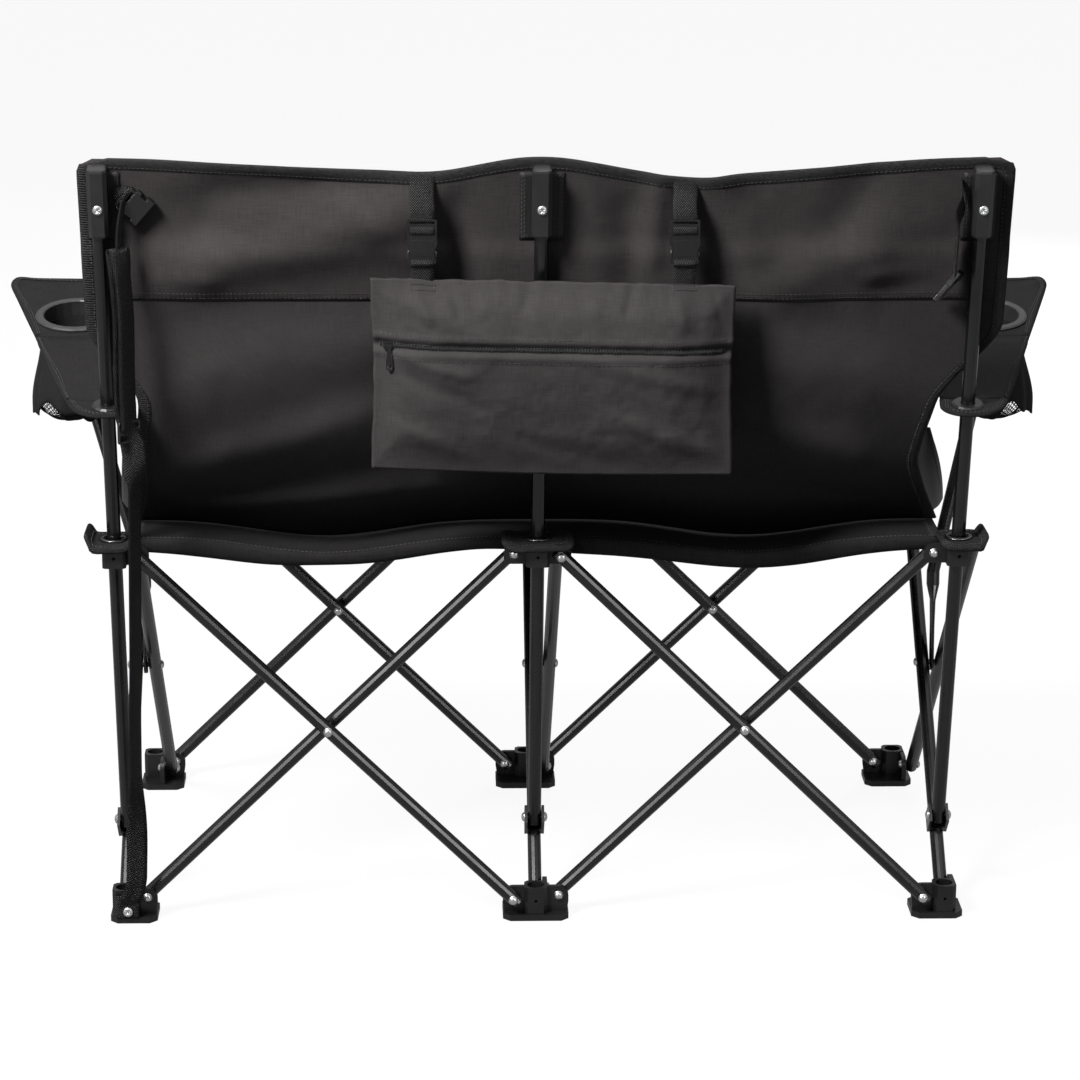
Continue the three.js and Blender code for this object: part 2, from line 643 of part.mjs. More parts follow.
// Bag straps: webbing from the back's top edge, each with a closed side-release buckle
function buckleGeometry() {
  const w = BUCKLE_W / 2;
  const h = BUCKLE_H / 2;
  const shape = outline([
    [-w, h], [-w, h * 0.1], [-w * 0.82, -h * 0.35], [-w * 0.82, -h], [w * 0.82, -h],
    [w * 0.82, -h * 0.35], [w, h * 0.1], [w, h],
  ]);
  const body = plate(shape, BUCKLE_T).translate(0, 0, -BUCKLE_T / 2).rotateX(Math.PI / 2);
  const slot = box(STRAP_W + 1, BUCKLE_T + 2, 4, [0, 0, 0]);
  const slots = [h - 6, -h + 6].map((z) => slot.clone().translate(0, 0, z));
  const grips = [-1, 1].map((way) => bar('y', 4, -BUCKLE_T, BUCKLE_T, [way * w, 0, h * 0.42], 10));
  return joined([body], [...slots, ...grips]);
}

const STRAP_Y = BAG_Y;
const BUCKLE_Z = (STRAP_TOP_Z + BAG_TOP_Z) / 2 - 8;
const STRAP_BEHIND = STRAP_Y - BUCKLE_T / 2 - GAP - STRAP_T / 2;
for (const [name, way] of [['left', -1], ['right', 1]]) {
  const x = BAG_X + way * STRAP_X;
  const sewn = behindBack(x, STRAP_TOP_Z) - STRAP_T / 2;
  const edge = BAG_TOP_Z + GAP;
  const length = STRAP_TOP_Z - edge;
  const spot = (u, v) => {
    const low = STRAP_Y + (STRAP_BEHIND - STRAP_Y) * smooth(v / 0.12);
    const y = low + (sewn - low) * smooth((v - 0.75) / 0.25);
    return point((u - 0.5) * STRAP_W, y, edge + length * v);
  };
  const strap = sheet(1, 10, STRAP_T, spot, rearward);
  addMesh(`bag_strap_${name}`, strap, 'webbing').position.set(x, 0, 0);
  const buckle = addMesh(`bag_buckle_${name}`, buckleGeometry(), 'plastic');
  buckle.position.set(x, STRAP_Y, BUCKLE_Z);
}

// Carry strap: webbing that hangs from the left upright to the rear left foot, turned on edge
const carryTurn = (v) => CARRY_TWIST * smooth((0.95 - v) / 0.35) * smooth(v / 0.12);

function carrySpot(u, v) {
  const low = -SOCKET_HALF - STRAP_T / 2 - GAP;
  const high = uprightY(CARRY_TOP_Z) - CARRY_BEHIND;
  const beside = CARRY_BESIDE * (smooth(v * 4) - 0.2 * smooth((v - 0.75) * 4));
  const across = (u - 0.5) * STRAP_W;
  const turn = carryTurn(v);
  const x = -BAY + beside + across * Math.cos(turn);
  const y = low + (high - low) * v + across * Math.sin(turn);
  return point(x, y, CARRY_LOW_Z + (CARRY_TOP_Z - CARRY_LOW_Z) * v);
}

const carryLift = (v) => point(Math.sin(carryTurn(v)), -Math.cos(carryTurn(v)), 0);
addMesh('carry_strap', sheet(1, 30, STRAP_T, carrySpot, carryLift), 'webbing');

// Half buckles: a socket that hangs beside the left cap, a plug on the short right strap
const socketBody = box(BUCKLE_W, BUCKLE_T, SOCKET_L, [0, 0, 0]);
const socketMouth = box(BUCKLE_W - 7, BUCKLE_T - 4, SOCKET_L, [0, 0, 6]);
const socketGrips = [-1, 1].map((way) => bar('y', 5, -BUCKLE_T, BUCKLE_T,
  [way * (BUCKLE_W / 2 + 1), 0, 2], 10));
const socket = addMesh('carry_buckle_socket', joined([socketBody], [socketMouth, ...socketGrips]),
  'plastic');
const socketX = HALF_BUCKLE_X - BAY;
const socketY = behindBack(socketX, HALF_BUCKLE_Z) - BUCKLE_T / 2 / Math.cos(LEAN);
socket.position.set(socketX, socketY, HALF_BUCKLE_Z);
socket.rotation.set(LEAN, SOCKET_TURN, 0);

const plugBase = box(BUCKLE_W * 0.8, PLUG_T, PLUG_BASE, [0, 0, 0]);
const prongs = [-1, 0, 1].map((way) => box(4, PLUG_T * 0.7, PLUG_PRONG,
  [way * BUCKLE_W * 0.3, 0, -PLUG_BASE / 2 - PLUG_PRONG / 2 + 1]));
const shortX = BAY - SHORT_BESIDE;
const shortDepth = STRAP_W * Math.sin(SHORT_TURN) + STRAP_T * Math.cos(SHORT_TURN);
const shortY = behindBack(shortX, SHORT_TOP_Z) - shortDepth / 2;
const plugReach = (PLUG_BASE / 2 + STRAP_T) / Math.cos(PLUG_TURN);
const plug = joined([plugBase, ...prongs]).rotateY(PLUG_TURN);
plug.translate(0, 0, -SHORT_LENGTH - plugReach);
const shortStrap = box(STRAP_W, STRAP_T, SHORT_LENGTH, [0, 0, -SHORT_LENGTH / 2]);
shortStrap.rotateZ(SHORT_TURN);
for (const [name, geometry, finish] of [
  ['short_strap', shortStrap, 'webbing'], ['short_buckle_plug', plug, 'plastic'],
]) {
  const mesh = addMesh(name, geometry, finish);
  mesh.position.set(shortX, shortY, SHORT_TOP_Z);
  mesh.rotation.x = SHORT_HANG * LEAN;
}

// The origin is on the ground in the middle of the footprint
part.updateMatrixWorld(true);
const bounds = new THREE.Box3().setFromObject(part, true);
part.position.set(
  -(bounds.min.x + bounds.max.x) / 2, -(bounds.min.y + bounds.max.y) / 2, -bounds.min.z,
);
part.updateMatrixWorld(true);

export default part;
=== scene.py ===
# %% [markdown]
# # A folding camping loveseat, seen from behind
# The steel scissor frame, the moulded feet and hubs and the plastic caps come from the CAD model.
# Everything that is sewn, riveted or buckled is made here, in metres, in the frame of that model:
# x runs to the sitters' right, y the way they face, z up.

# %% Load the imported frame
import json
import math

import bpy
from mathutils import Matrix, Vector, noise
from mathutils.geometry import delaunay_2d_cdt

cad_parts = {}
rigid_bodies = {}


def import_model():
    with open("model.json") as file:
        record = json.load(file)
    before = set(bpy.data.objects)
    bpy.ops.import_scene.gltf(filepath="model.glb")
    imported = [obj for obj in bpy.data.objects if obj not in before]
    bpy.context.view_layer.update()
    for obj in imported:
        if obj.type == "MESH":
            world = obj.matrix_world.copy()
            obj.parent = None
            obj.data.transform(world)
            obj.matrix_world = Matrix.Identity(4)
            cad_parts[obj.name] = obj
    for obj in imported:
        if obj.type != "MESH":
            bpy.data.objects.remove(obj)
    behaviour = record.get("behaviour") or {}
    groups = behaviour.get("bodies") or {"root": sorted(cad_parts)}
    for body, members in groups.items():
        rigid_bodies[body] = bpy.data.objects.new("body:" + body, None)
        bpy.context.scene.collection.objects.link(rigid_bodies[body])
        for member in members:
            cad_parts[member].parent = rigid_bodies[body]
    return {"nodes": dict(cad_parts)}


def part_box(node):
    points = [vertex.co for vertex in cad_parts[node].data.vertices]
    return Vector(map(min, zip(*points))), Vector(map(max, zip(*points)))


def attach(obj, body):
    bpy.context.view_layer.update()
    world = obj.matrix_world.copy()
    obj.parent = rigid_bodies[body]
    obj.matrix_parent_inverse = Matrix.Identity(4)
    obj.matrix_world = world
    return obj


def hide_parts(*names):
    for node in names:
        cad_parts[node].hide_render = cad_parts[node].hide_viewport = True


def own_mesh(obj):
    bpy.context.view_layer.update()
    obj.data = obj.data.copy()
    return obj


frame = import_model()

scene = bpy.context.scene
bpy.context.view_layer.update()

# %% [markdown]
# The chair's own measures come next. Three columns stand 450 mm apart and the rear row is where
# the uprights are. They could be typed in at every piece, but a value that is named once is
# changed once. Small functions turn a height into a place on a leaning upright, so that a piece
# can be sewn or riveted to it without trying.

# %% Measures of the frame
BAY = 0.450
HUB_Z = 0.415
PIN_Z = 0.025
PIN_OUT = 0.025
TUBE = 0.0075
PLANE = 0.0105
LEAN = math.radians(10.8905)
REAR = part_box("foot_rear_centre")[0].y + 0.015
COLUMNS = {"left": -BAY, "centre": 0.0, "right": BAY}
SIDES = {"left": -1, "right": 1}
RIGHT, UP = Vector((1, 0, 0)), Vector((0, 0, 1))
BACK_WAY, FRONT_WAY = Vector((0, -1, 0)), Vector((0, 1, 0))
REARWARD = Vector((0, -math.cos(LEAN), -math.sin(LEAN)))


def smooth(t):
    t = min(1.0, max(0.0, t))
    return t * t * (3 - 2 * t)


def bell(off, wide):
    return math.exp(-(off / wide) ** 2)


def steps(count):
    return [i / count for i in range(count + 1)]


def at(x, y, z):
    """A place by its distance in front of the rear row."""
    return Vector((x, REAR + y, z))


def upright_y(z):
    return REAR - (z - HUB_Z) * math.tan(LEAN)


print("rear row at y", round(REAR, 4), "cap at y", round(upright_y(0.82), 4))

# %% [markdown]
# The camera stands 3.6 m behind the rear row and a little to its left, 1.44 m up, and looks down
# by some 16 degrees. A long lens keeps the three uprights nearly parallel, as in the photograph.
# A Track To constraint could aim it, but can't roll it, and the picture is tilted by a third of a
# degree. So it is placed with a matrix made of its right, up and backward directions.

# %% Camera
YAW, PITCH, ROLL = -0.0319, 0.2744, 0.0059
level = Vector((-math.sin(YAW), math.cos(YAW), 0.0))
ahead = level * math.cos(PITCH) - UP * math.sin(PITCH)
aside = Vector((math.cos(YAW), math.sin(YAW), 0.0))
above = aside.cross(ahead)
camera_right = aside * math.cos(ROLL) + above * math.sin(ROLL)
camera_up = above * math.cos(ROLL) - aside * math.sin(ROLL)
camera_data = bpy.data.cameras.new("photo_camera")
camera_data.sensor_width = 36.0
camera_data.lens = 116.667
camera = bpy.data.objects.new("photo_camera", camera_data)
scene.collection.objects.link(camera)
camera.matrix_world = Matrix((camera_right, camera_up, -ahead)).transposed().to_4x4()
camera.location = at(-0.1122, -3.5937, 1.4419)
scene.camera = camera
scene.view_settings.view_transform = "Standard"
print("camera at", [round(c, 3) for c in camera.location])

# %% [markdown]
# The sky, the floor and all the finishes are shader trees. Nodes could be made and linked one by
# one, which hides what a tree does. A few helpers keep it to a line for each thought: any node, a
# Math node, a weighed sum, a colour ramp, a mix of two shaders, a kind of light ray.

# %% Helpers for shader trees
def add_node(tree, kind, **settings):
    node = tree.nodes.new("ShaderNode" + kind)
    for key, value in settings.items():
        setattr(node, key, value)
    return node


def sums(tree, operation, *values):
    """A Math node on numbers and on the outputs of other nodes."""
    node = add_node(tree, "Math", operation=operation)
    for socket, value in zip(node.inputs, values):
        if isinstance(value, (int, float)):
            socket.default_value = value
        else:
            tree.links.new(value, socket)
    return node.outputs[0]


def weighed(tree, *parts):
    total = None
    for value, weight in parts:
        part = sums(tree, "MULTIPLY", value, weight)
        total = part if total is None else sums(tree, "ADD", total, part)
    return total


def ramp(tree, amount, stops):
    node = add_node(tree, "ValToRGB")
    points = node.color_ramp.elements
    while len(points) < len(stops):
        points.new(0.5)
    for point, (place, colour) in zip(points, stops):
        point.position = place
        point.color = (*colour, 1)
    tree.links.new(amount, node.inputs[0])
    return node.outputs[0]


def mixed(tree, share, first, second):
    node = add_node(tree, "MixShader")
    for socket, value in zip(node.inputs, (share, first, second)):
        tree.links.new(value, socket)
    return node.outputs[0]


def ray(tree, kind):
    return add_node(tree, "LightPath").outputs[f"Is {kind} Ray"]


def grey(value, warm=0.0):
    return (value * (1 + warm), value * (1 - 0.3 * warm), value * (1 - 0.2 * warm))


print("shader helpers ready")

# %% [markdown]
# Floor and light. The photograph has a plain white ground and a black chair that takes nearly all
# its light from above and from the left. A glowing plane would be as white but take no shadow,
# and a plain white one would turn grey and light the cloth from below. So both floor and sky look
# at the kind of ray that meets them: they are white where they are looked at, paler or darker
# greys where they mirror in the tubes, and dim where they would throw light up under the cloth.

# %% Sky and floor
world = bpy.data.worlds.new("studio")
scene.world = world
world.use_nodes = True
sky = world.node_tree
white = sky.nodes["Background"]
white.inputs["Color"].default_value = (1, 1, 1, 1)
soft = add_node(sky, "Background")
height = add_node(sky, "SeparateXYZ")
sky.links.new(add_node(sky, "TexCoord").outputs["Generated"], height.inputs[0])
fade = ramp(sky, height.outputs["Z"], [(0.0, grey(0.04)), (0.80, grey(1.0))])
sky.links.new(fade, soft.inputs["Color"])
strength = sums(sky, "MULTIPLY_ADD", ray(sky, "Glossy"), 0.86, 0.14)
sky.links.new(strength, soft.inputs["Strength"])
seen = mixed(sky, ray(sky, "Camera"), soft.outputs[0], white.outputs[0])
sky.links.new(seen, sky.nodes["World Output"].inputs["Surface"])

ground_finish = bpy.data.materials.new("ground")
ground_finish.use_nodes = True
tree = ground_finish.node_tree
paper = tree.nodes["Principled BSDF"]
pale = add_node(tree, "Mix", data_type="RGBA")
pale.inputs[6].default_value = (*grey(0.10), 1)
pale.inputs[7].default_value = (*grey(0.92), 1)
tree.links.new(ray(tree, "Camera"), pale.inputs[0])
tree.links.new(pale.outputs[2], paper.inputs["Base Color"])
paper.inputs["Roughness"].default_value = 1.0
paper.inputs["Specular IOR Level"].default_value = 0.0
glow = add_node(tree, "Emission")
glow.inputs["Strength"].default_value = 1.0
share = sums(tree, "MULTIPLY", ray(tree, "Camera"), 0.93)
share = sums(tree, "MULTIPLY_ADD", ray(tree, "Glossy"), 0.35, share)
both = mixed(tree, share, paper.outputs[0], glow.outputs[0])
tree.links.new(both, tree.nodes["Material Output"].inputs["Surface"])
FAR = 12
ground_mesh = bpy.data.meshes.new("ground")
corners = [(-FAR, -FAR, 0), (FAR, -FAR, 0), (FAR, FAR, 0), (-FAR, FAR, 0)]
ground_mesh.from_pydata(corners, [], [(0, 1, 2, 3)])
ground_mesh.materials.append(ground_finish)
ground = bpy.data.objects.new("ground", ground_mesh)
scene.collection.objects.link(ground)
print("floor and sky")

# %% [markdown]
# A lamp on the left, one overhead and a weak one in front shape the folds. Two tall strip lamps
# at the sides only show in what is glossy: they draw the long streaks on the tubes. Area lamps
# were taken, not spots, because their size sets how soft a shadow is and how wide a streak.

# %% Lamps
def lamp(name, place, aim, size, watts):
    data = bpy.data.lights.new(name, "AREA")
    data.shape = "DISK"
    data.size = size
    data.energy = watts
    item = bpy.data.objects.new(name, data)
    item.location = place
    item.rotation_euler = (Vector(aim) - Vector(place)).to_track_quat("-Z", "Y").to_euler()
    scene.collection.objects.link(item)
    return item


lamp("key_lamp", (-1.75, -1.9, 2.9), (0, -0.1, 0.5), 1.0, 195)
lamp("top_lamp", (0.3, -0.5, 3.0), (0, 0, 0.4), 1.8, 16)
lamp("front_lamp", (1.2, 3.4, 1.5), (0, 0.1, 0.4), 1.6, 110).visible_glossy = False
for name, x, watts in (("strip_lamp_left", -2.05, 34), ("strip_lamp_right", 2.05, 30)):
    strip = lamp(name, (x, -2.9, 1.1), (0, -0.1, 0.4), 0.60, watts)
    strip.data.shape = "RECTANGLE"
    strip.data.size_y = 1.4
    strip.visible_diffuse = False
print("5 lamps")

# %% [markdown]
# Finishes. Every finish is a Principled shader fed by procedural textures, which stay sharp from
# near by and need no picture. Cloth takes its weave from a UV map that is laid out in metres, so
# that a thread is as wide on the bag as on the back; moulded and coated pieces take a fine grain
# from their own coordinates.

# %% Helpers for finishes
def new_finish(name, rough, specular, metal=0.0):
    finish = bpy.data.materials.new(name)
    finish.use_nodes = True
    shader = finish.node_tree.nodes["Principled BSDF"]
    shader.inputs["Roughness"].default_value = rough
    shader.inputs["Specular IOR Level"].default_value = specular
    shader.inputs["Metallic"].default_value = metal
    return finish, finish.node_tree


def mapped(tree, source, stretch):
    mapping = add_node(tree, "Mapping")
    mapping.inputs["Scale"].default_value = stretch
    tree.links.new(source, mapping.inputs["Vector"])
    return mapping.outputs["Vector"]


def on_cloth(tree, along, up):
    """Metres along and up the cut cloth, times two scales."""
    return mapped(tree, add_node(tree, "UVMap", uv_map="cut").outputs["UV"], (along, up, 1))


def on_solid(tree):
    return mapped(tree, add_node(tree, "TexCoord").outputs["Object"], (1, 1, 1))


def grain(tree, where, scale=1.0, detail=2.0):
    node = add_node(tree, "TexNoise")
    node.inputs["Scale"].default_value = scale
    node.inputs["Detail"].default_value = detail
    tree.links.new(where, node.inputs["Vector"])
    return node.outputs["Fac"]


def tint(tree, amount, stops, into="Base Color"):
    tree.links.new(ramp(tree, amount, stops), tree.nodes["Principled BSDF"].inputs[into])


def relief(tree, amount, distance):
    node = add_node(tree, "Bump")
    node.inputs["Distance"].default_value = distance
    node.inputs["Strength"].default_value = 1.0
    tree.links.new(amount, node.inputs["Height"])
    tree.links.new(node.outputs[0], tree.nodes["Principled BSDF"].inputs["Normal"])


def split_cloth(tree, along, up):
    split = add_node(tree, "SeparateXYZ")
    tree.links.new(on_cloth(tree, along, up), split.inputs[0])
    return split.outputs["X"], split.outputs["Y"]


print("finish helpers ready")

# %% [markdown]
# Cloth. The upper back, the seat and the arms are a coarse polyester weave, the lower back is the
# same weave under a smooth coating, and the bag is a lighter, thinner cloth. Modelled threads
# would be millions of faces, and at this distance only their grain shows. So a product of two
# sines gives the over-and-under of the threads, and two noises drawn out along warp and weft give
# the uneven yarns. Together they drive the colour and the bump.

# %% Woven cloth finishes
def woven(name, shade, pitch, uneven, rough, specular, depth, warm):
    finish, tree = new_finish(name, rough, specular)
    turn = math.pi / pitch
    over, under = [sums(tree, "SINE", axis) for axis in split_cloth(tree, turn, turn)]
    weave = sums(tree, "MULTIPLY_ADD", sums(tree, "MULTIPLY", over, under), 0.5, 0.5)
    fine, drawn = 0.9 / pitch, 0.05 / pitch
    warp = grain(tree, on_cloth(tree, fine, drawn))
    weft = grain(tree, on_cloth(tree, drawn, fine))
    yarn = weighed(tree, (warp, 0.5), (weft, 0.5))
    patch = grain(tree, on_cloth(tree, 9, 9), 1.0, 4.0)
    tone = weighed(tree, (yarn, 0.7), (patch, 0.2), (weave, 0.10))
    shades = (0.30, 1 - uneven), (0.48, 1.0), (0.68, 1 + uneven)
    tint(tree, tone, [(spot, grey(shade * part, warm)) for spot, part in shades])
    relief(tree, sums(tree, "ADD", weave, yarn), depth)
    return finish


# In turn: shade, thread pitch, unevenness, roughness, gloss, depth of the weave, warmth.
BAND_CLOTH = woven("band_cloth", 0.039, 0.0011, 0.45, 0.85, 0.12, 0.00025, 0.09)
COATED_CLOTH = woven("coated_cloth", 0.040, 0.0010, 0.30, 0.62, 0.05, 0.00012, 0.06)
SEAT_CLOTH = woven("seat_cloth", 0.016, 0.0012, 0.5, 0.85, 0.10, 0.0003, 0.05)
# The arm cloth is the band's weave at a third of its shade: painted shade where the arms look
# darker than the lamps leave them.
ARM_CLOTH_PAINTED_SHADE = woven("arm_cloth_painted_shade", 0.013, 0.0012, 0.5, 0.85, 0.12, 0.0003, 0.05)
BAG_CLOTH = woven("bag_cloth", 0.043, 0.0009, 0.35, 0.80, 0.12, 0.0002, 0.07)
SLEEVE_CLOTH = woven("sleeve_cloth", 0.012, 0.0010, 0.4, 0.75, 0.15, 0.0002, 0.0)
PATCH_CLOTH = woven("patch_cloth", 0.016, 0.0008, 0.3, 0.50, 0.20, 0.0001, 0.0)
print("7 cloth finishes")

# %% [markdown]
# Tape and webbing. The binding tape and the sewing thread are ribbed across their length, and the
# webbing is a plain weave so bold that its raised yarns catch the light as pale specks. Each rib
# could be a row of faces, but a sine along the piece is enough at this size, because the UV map
# runs along it.

# %% Tape, webbing and thread finishes
def ribbed(name, shade, rib, slant, contrast, rough):
    finish, tree = new_finish(name, rough, 0.15)
    turn = 2 * math.pi / rib
    run, rise = split_cloth(tree, turn, turn)
    across = sums(tree, "ABSOLUTE", sums(tree, "SINE", sums(tree, "MULTIPLY", rise, 0.18)))
    slanted = sums(tree, "ADD", run, sums(tree, "MULTIPLY", across, slant * 6))
    ribs = sums(tree, "MULTIPLY_ADD", sums(tree, "SINE", slanted), 0.5, 0.5)
    specks = grain(tree, on_cloth(tree, 0.55 / rib, 1.1 / rib))
    tone = weighed(tree, (ribs, 0.42), (specks, 0.672))
    pale = grey(shade * (1 + 3 * contrast), 0.03)
    tint(tree, tone, [(0.25, grey(shade * (1 - contrast))), (0.50, grey(shade)), (0.75, pale)])
    relief(tree, sums(tree, "ADD", ribs, specks), 0.0005)
    return finish


def dotted(name, shade, pale, across, along, rough):
    finish, tree = new_finish(name, rough, 0.15)
    over, under = [sums(tree, "SINE", axis)
                   for axis in split_cloth(tree, math.pi / across, math.pi / along)]
    yarns = sums(tree, "MULTIPLY", over, under)
    fuzz = grain(tree, on_cloth(tree, 420, 420))
    tone = weighed(tree, (yarns, 0.55), (fuzz, 0.60))
    # Pale on the raised yarns: the dark dots are the weave's own, the pale specks a painted
    # highlight.
    tint(tree, tone, [(0.42, grey(shade)), (0.58, grey(shade * 2.2)), (0.70, grey(pale, 0.02))])
    relief(tree, yarns, 0.0006)
    return finish


TAPE = ribbed("binding_tape", 0.014, 0.0026, 0.0, 0.75, 0.8)
WEBBING = dotted("webbing", 0.0050, 0.15, 0.0012, 0.0014, 0.7)
THREAD = ribbed("sewing_thread", 0.060, 0.0008, 0.5, 0.4, 0.6)
print("tape, webbing and thread")

# %% [markdown]
# Hard finishes. The tubes are powder coated: black, with a soft gloss and a slight orange-peel.
# Feet, hubs and buckles are moulded nylon, the caps and cup rings a greyer plastic with rubbed
# patches, the rivets and screws are zinc plated, and the nets under the cups are a dull black
# thread. Their grain is noise in the object's own coordinates, because the CAD solids have no UV
# map.

# %% Coated, moulded, plated and net finishes
def moulded(name, shade, rough, specular, peel, size, wear=0.25):
    finish, tree = new_finish(name, rough, specular)
    fine = grain(tree, on_solid(tree), size)
    rubbed = grain(tree, on_solid(tree), 38.0, 5.0)
    tone = weighed(tree, (fine, 0.35), (rubbed, 0.65))
    shades = (0.32, 1 - wear), (0.50, 1.0), (0.70, 1 + wear)
    tint(tree, tone, [(spot, grey(shade * part)) for spot, part in shades])
    tint(tree, rubbed, [(0.30, grey(rough * 0.85)), (0.70, grey(rough * 1.15))], "Roughness")
    relief(tree, fine, peel)
    return finish


def plated(name, shade, rough):
    finish, tree = new_finish(name, rough, 0.5, 1.0)
    scuffs = grain(tree, on_solid(tree), 700.0, 4.0)
    tint(tree, scuffs, [(0.30, grey(shade * 0.75, -0.01)), (0.65, grey(shade, -0.01))])
    tint(tree, scuffs, [(0.30, grey(rough * 1.3)), (0.70, grey(rough * 0.8))], "Roughness")
    relief(tree, scuffs, 0.00004)
    return finish


# In turn: shade, roughness, gloss, height of the grain, its fineness.
COATED_TUBE = moulded("coated_tube", 0.006, 0.26, 0.50, 0.000010, 110.0)
MOULDED = moulded("moulded_nylon", 0.008, 0.38, 0.40, 0.00003, 1400.0)
CAP = moulded("cap_plastic", 0.016, 0.32, 0.50, 0.00002, 1200.0)
RING = moulded("ring_plastic", 0.024, 0.42, 0.45, 0.00006, 1200.0)
BUCKLE = moulded("buckle_plastic", 0.009, 0.26, 0.50, 0.00003, 1500.0)
COIL = moulded("zip_coil", 0.050, 0.35, 0.5, 0.00002, 1500.0)
ZINC = plated("zinc_plate", 0.62, 0.34)
DARK_ZINC = plated("dark_eyelet", 0.16, 0.30)
NET, net_tree = new_finish("net_thread", 0.7, 0.1)
net_tone = grain(net_tree, on_solid(net_tree), 900.0)
tint(net_tree, net_tone, [(0.3, grey(0.010)), (0.7, grey(0.030))])
relief(net_tree, net_tone, 0.0002)
print("tube, nylon, cap, ring, buckle, coil, zinc and net")

# %% [markdown]
# The solids that stay as they are: tubes, feet, hubs, brackets, uprights, caps, eyelets, struts
# and cup rings. They could be modelled anew with more sides, but their shapes are true already.
# They only get their finish and smooth shading over the shallow angles, so that a fourteen-sided
# tube looks round while the edges of a foot stay crisp.

# %% Finish the solids that stay
def dress(prefix, finish, angle=40.0):
    found = [item for name, item in frame["nodes"].items() if name.startswith(prefix)]
    for item in found:
        item.data.materials.clear()
        item.data.materials.append(finish)
        item.data.shade_smooth()
        item.data.set_sharp_from_angle(angle=math.radians(angle))
    return len(found)


print({
    "tubes": dress(("bay_tube", "side_tube", "upright", "arm_strut"), COATED_TUBE),
    "feet and hubs": dress(("foot_", "hub_", "arm_eyelet"), MOULDED, 30.0),
    "caps": dress("upright_cap", CAP, 30.0),
    "rings": dress("cup_ring", RING, 35.0),
})

# %% [markdown]
# Every piece made here is a mesh of points and faces with a UV map named for the cut, one finish,
# and a body of the frame that it rides on. Blender's operators could add shapes one at a time;
# writing the points straight into a mesh is quicker and always gives the same result. A Solidify
# modifier adds the thickness of cloth or plate.

# %% Helpers for pieces
def make_piece(name, points, faces, finish, body, flat=None, smooth_faces=True):
    mesh = bpy.data.meshes.new(name)
    mesh.from_pydata([tuple(p) for p in points], [], faces)
    layer = mesh.uv_layers.new(name="cut")
    if flat:
        for loop in mesh.loops:
            layer.data[loop.index].uv = flat[loop.vertex_index]
    mesh.materials.append(finish)
    if smooth_faces:
        mesh.shade_smooth()
    item = bpy.data.objects.new(name, mesh)
    scene.collection.objects.link(item)
    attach(item, body)
    return item


def thicken(item, thickness):
    layer = item.modifiers.new("thickness", "SOLIDIFY")
    layer.thickness = thickness
    layer.offset = 0.0
    return item


print("piece helpers ready")

# %% [markdown]
# Cloth pieces are grids of points that a function bends into shape, much as a tailor lays a cut
# on a form. They could be sculpted, but a function keeps each edge where the measures say. These
# helpers join rows of points into faces, and measure the cloth along and across itself for its UV
# map.

# %% Helpers for cloth
def joined(rows):
    return [p for row in rows for p in row]


def grid_faces(rows, columns, closed=False):
    last = columns if closed else columns - 1
    return [
        (r * columns + c, r * columns + (c + 1) % columns,
         (r + 1) * columns + (c + 1) % columns, (r + 1) * columns + c)
        for r in range(rows - 1) for c in range(last)
    ]


def measured(rows):
    """UVs in metres: along each row, and up each column."""
    flat = []
    rise = [0.0] * len(rows[0])
    for r, row in enumerate(rows):
        run = 0.0
        for c, point in enumerate(row):
            if c:
                run += (point - row[c - 1]).length
            if r:
                rise[c] += (point - rows[r - 1][c]).length
            flat.append((run, rise[c]))
    return flat


def sheet_of(name, rows, finish, body, thickness=0.0016):
    faces = grid_faces(len(rows), len(rows[0]))
    return thicken(make_piece(name, joined(rows), faces, finish, body, measured(rows)), thickness)


def swept(name, rows, finish, body, closed=True):
    flat = [(v, u) for u, v in measured(rows)]
    width = len(rows[0])
    faces = grid_faces(len(rows), width, closed)
    if closed:
        faces.append(tuple(reversed(range(width))))
        faces.append(tuple(range((len(rows) - 1) * width, len(rows) * width)))
    return make_piece(name, joined(rows), faces, finish, body, flat)


print("cloth helpers ready")

# %% [markdown]
# Edges are bound with a tape that is folded round them, and sewn with stitches. A stitch could be
# a dark dash in the material, but from near by a seam is a row of small raised ridges that catch
# the light, so each is made as one. All the stitches of a seam are one mesh, because thousands of
# objects would be slow.

# %% Helpers for sewing
def bind(name, edge, inside, facing, body, finish=TAPE, width=0.011, proud=0.0017):
    """A tape round an edge: points of the edge, points inside it, and the cloth's facing."""
    section = [(width, 0.6), (width * 0.55, 1.0), (0.0012, 0.9), (-0.0010, 0.0)]
    section += [(w, -h) for w, h in reversed(section[:3])]
    rows = []
    for here, inner, out in zip(edge, inside, facing):
        inward = (inner - here).normalized()
        rows.append([here + inward * w + out * (h * proud) for w, h in section])
    return swept(name, rows, finish, body, closed=False)


def even_steps(path, step):
    """Points and directions every step along a line of points."""
    found = []
    left = step / 2
    for here, there in zip(path, path[1:]):
        run = (there - here).length
        while left <= run and run > 0:
            found.append((here.lerp(there, left / run), (there - here) / run))
            left += step
        left -= run
    return found


def sew(name, path, out, body, step=0.0046, long=0.0031, wide=0.0010, high=0.0007):
    """Stitches along a line: eight points on the cloth and a ridge of two for each."""
    outline = [(-1, 0.3), (-0.6, 1), (0.6, 1), (1, 0.3)]
    outline += [(-t, -b) for t, b in outline]
    sides = [(1, 2, 9, 8), (5, 6, 8, 9), (0, 1, 8, 7), (7, 8, 6), (2, 3, 4, 9), (4, 5, 9)]
    points, faces = [], []
    for spot, along in even_steps(path, step):
        beside = along.cross(out).normalized() * (wide / 2)
        tip = along * (long / 2)
        base = len(points)
        points += [spot + tip * t + beside * b for t, b in outline]
        points += [spot + tip * t + out * high for t in (-0.6, 0.6)]
        faces += [tuple(base + i for i in side) for side in sides]
    return make_piece(name, points, faces, THREAD, body, [(p.x + p.y, p.z) for p in points])


print("sewing helpers ready")

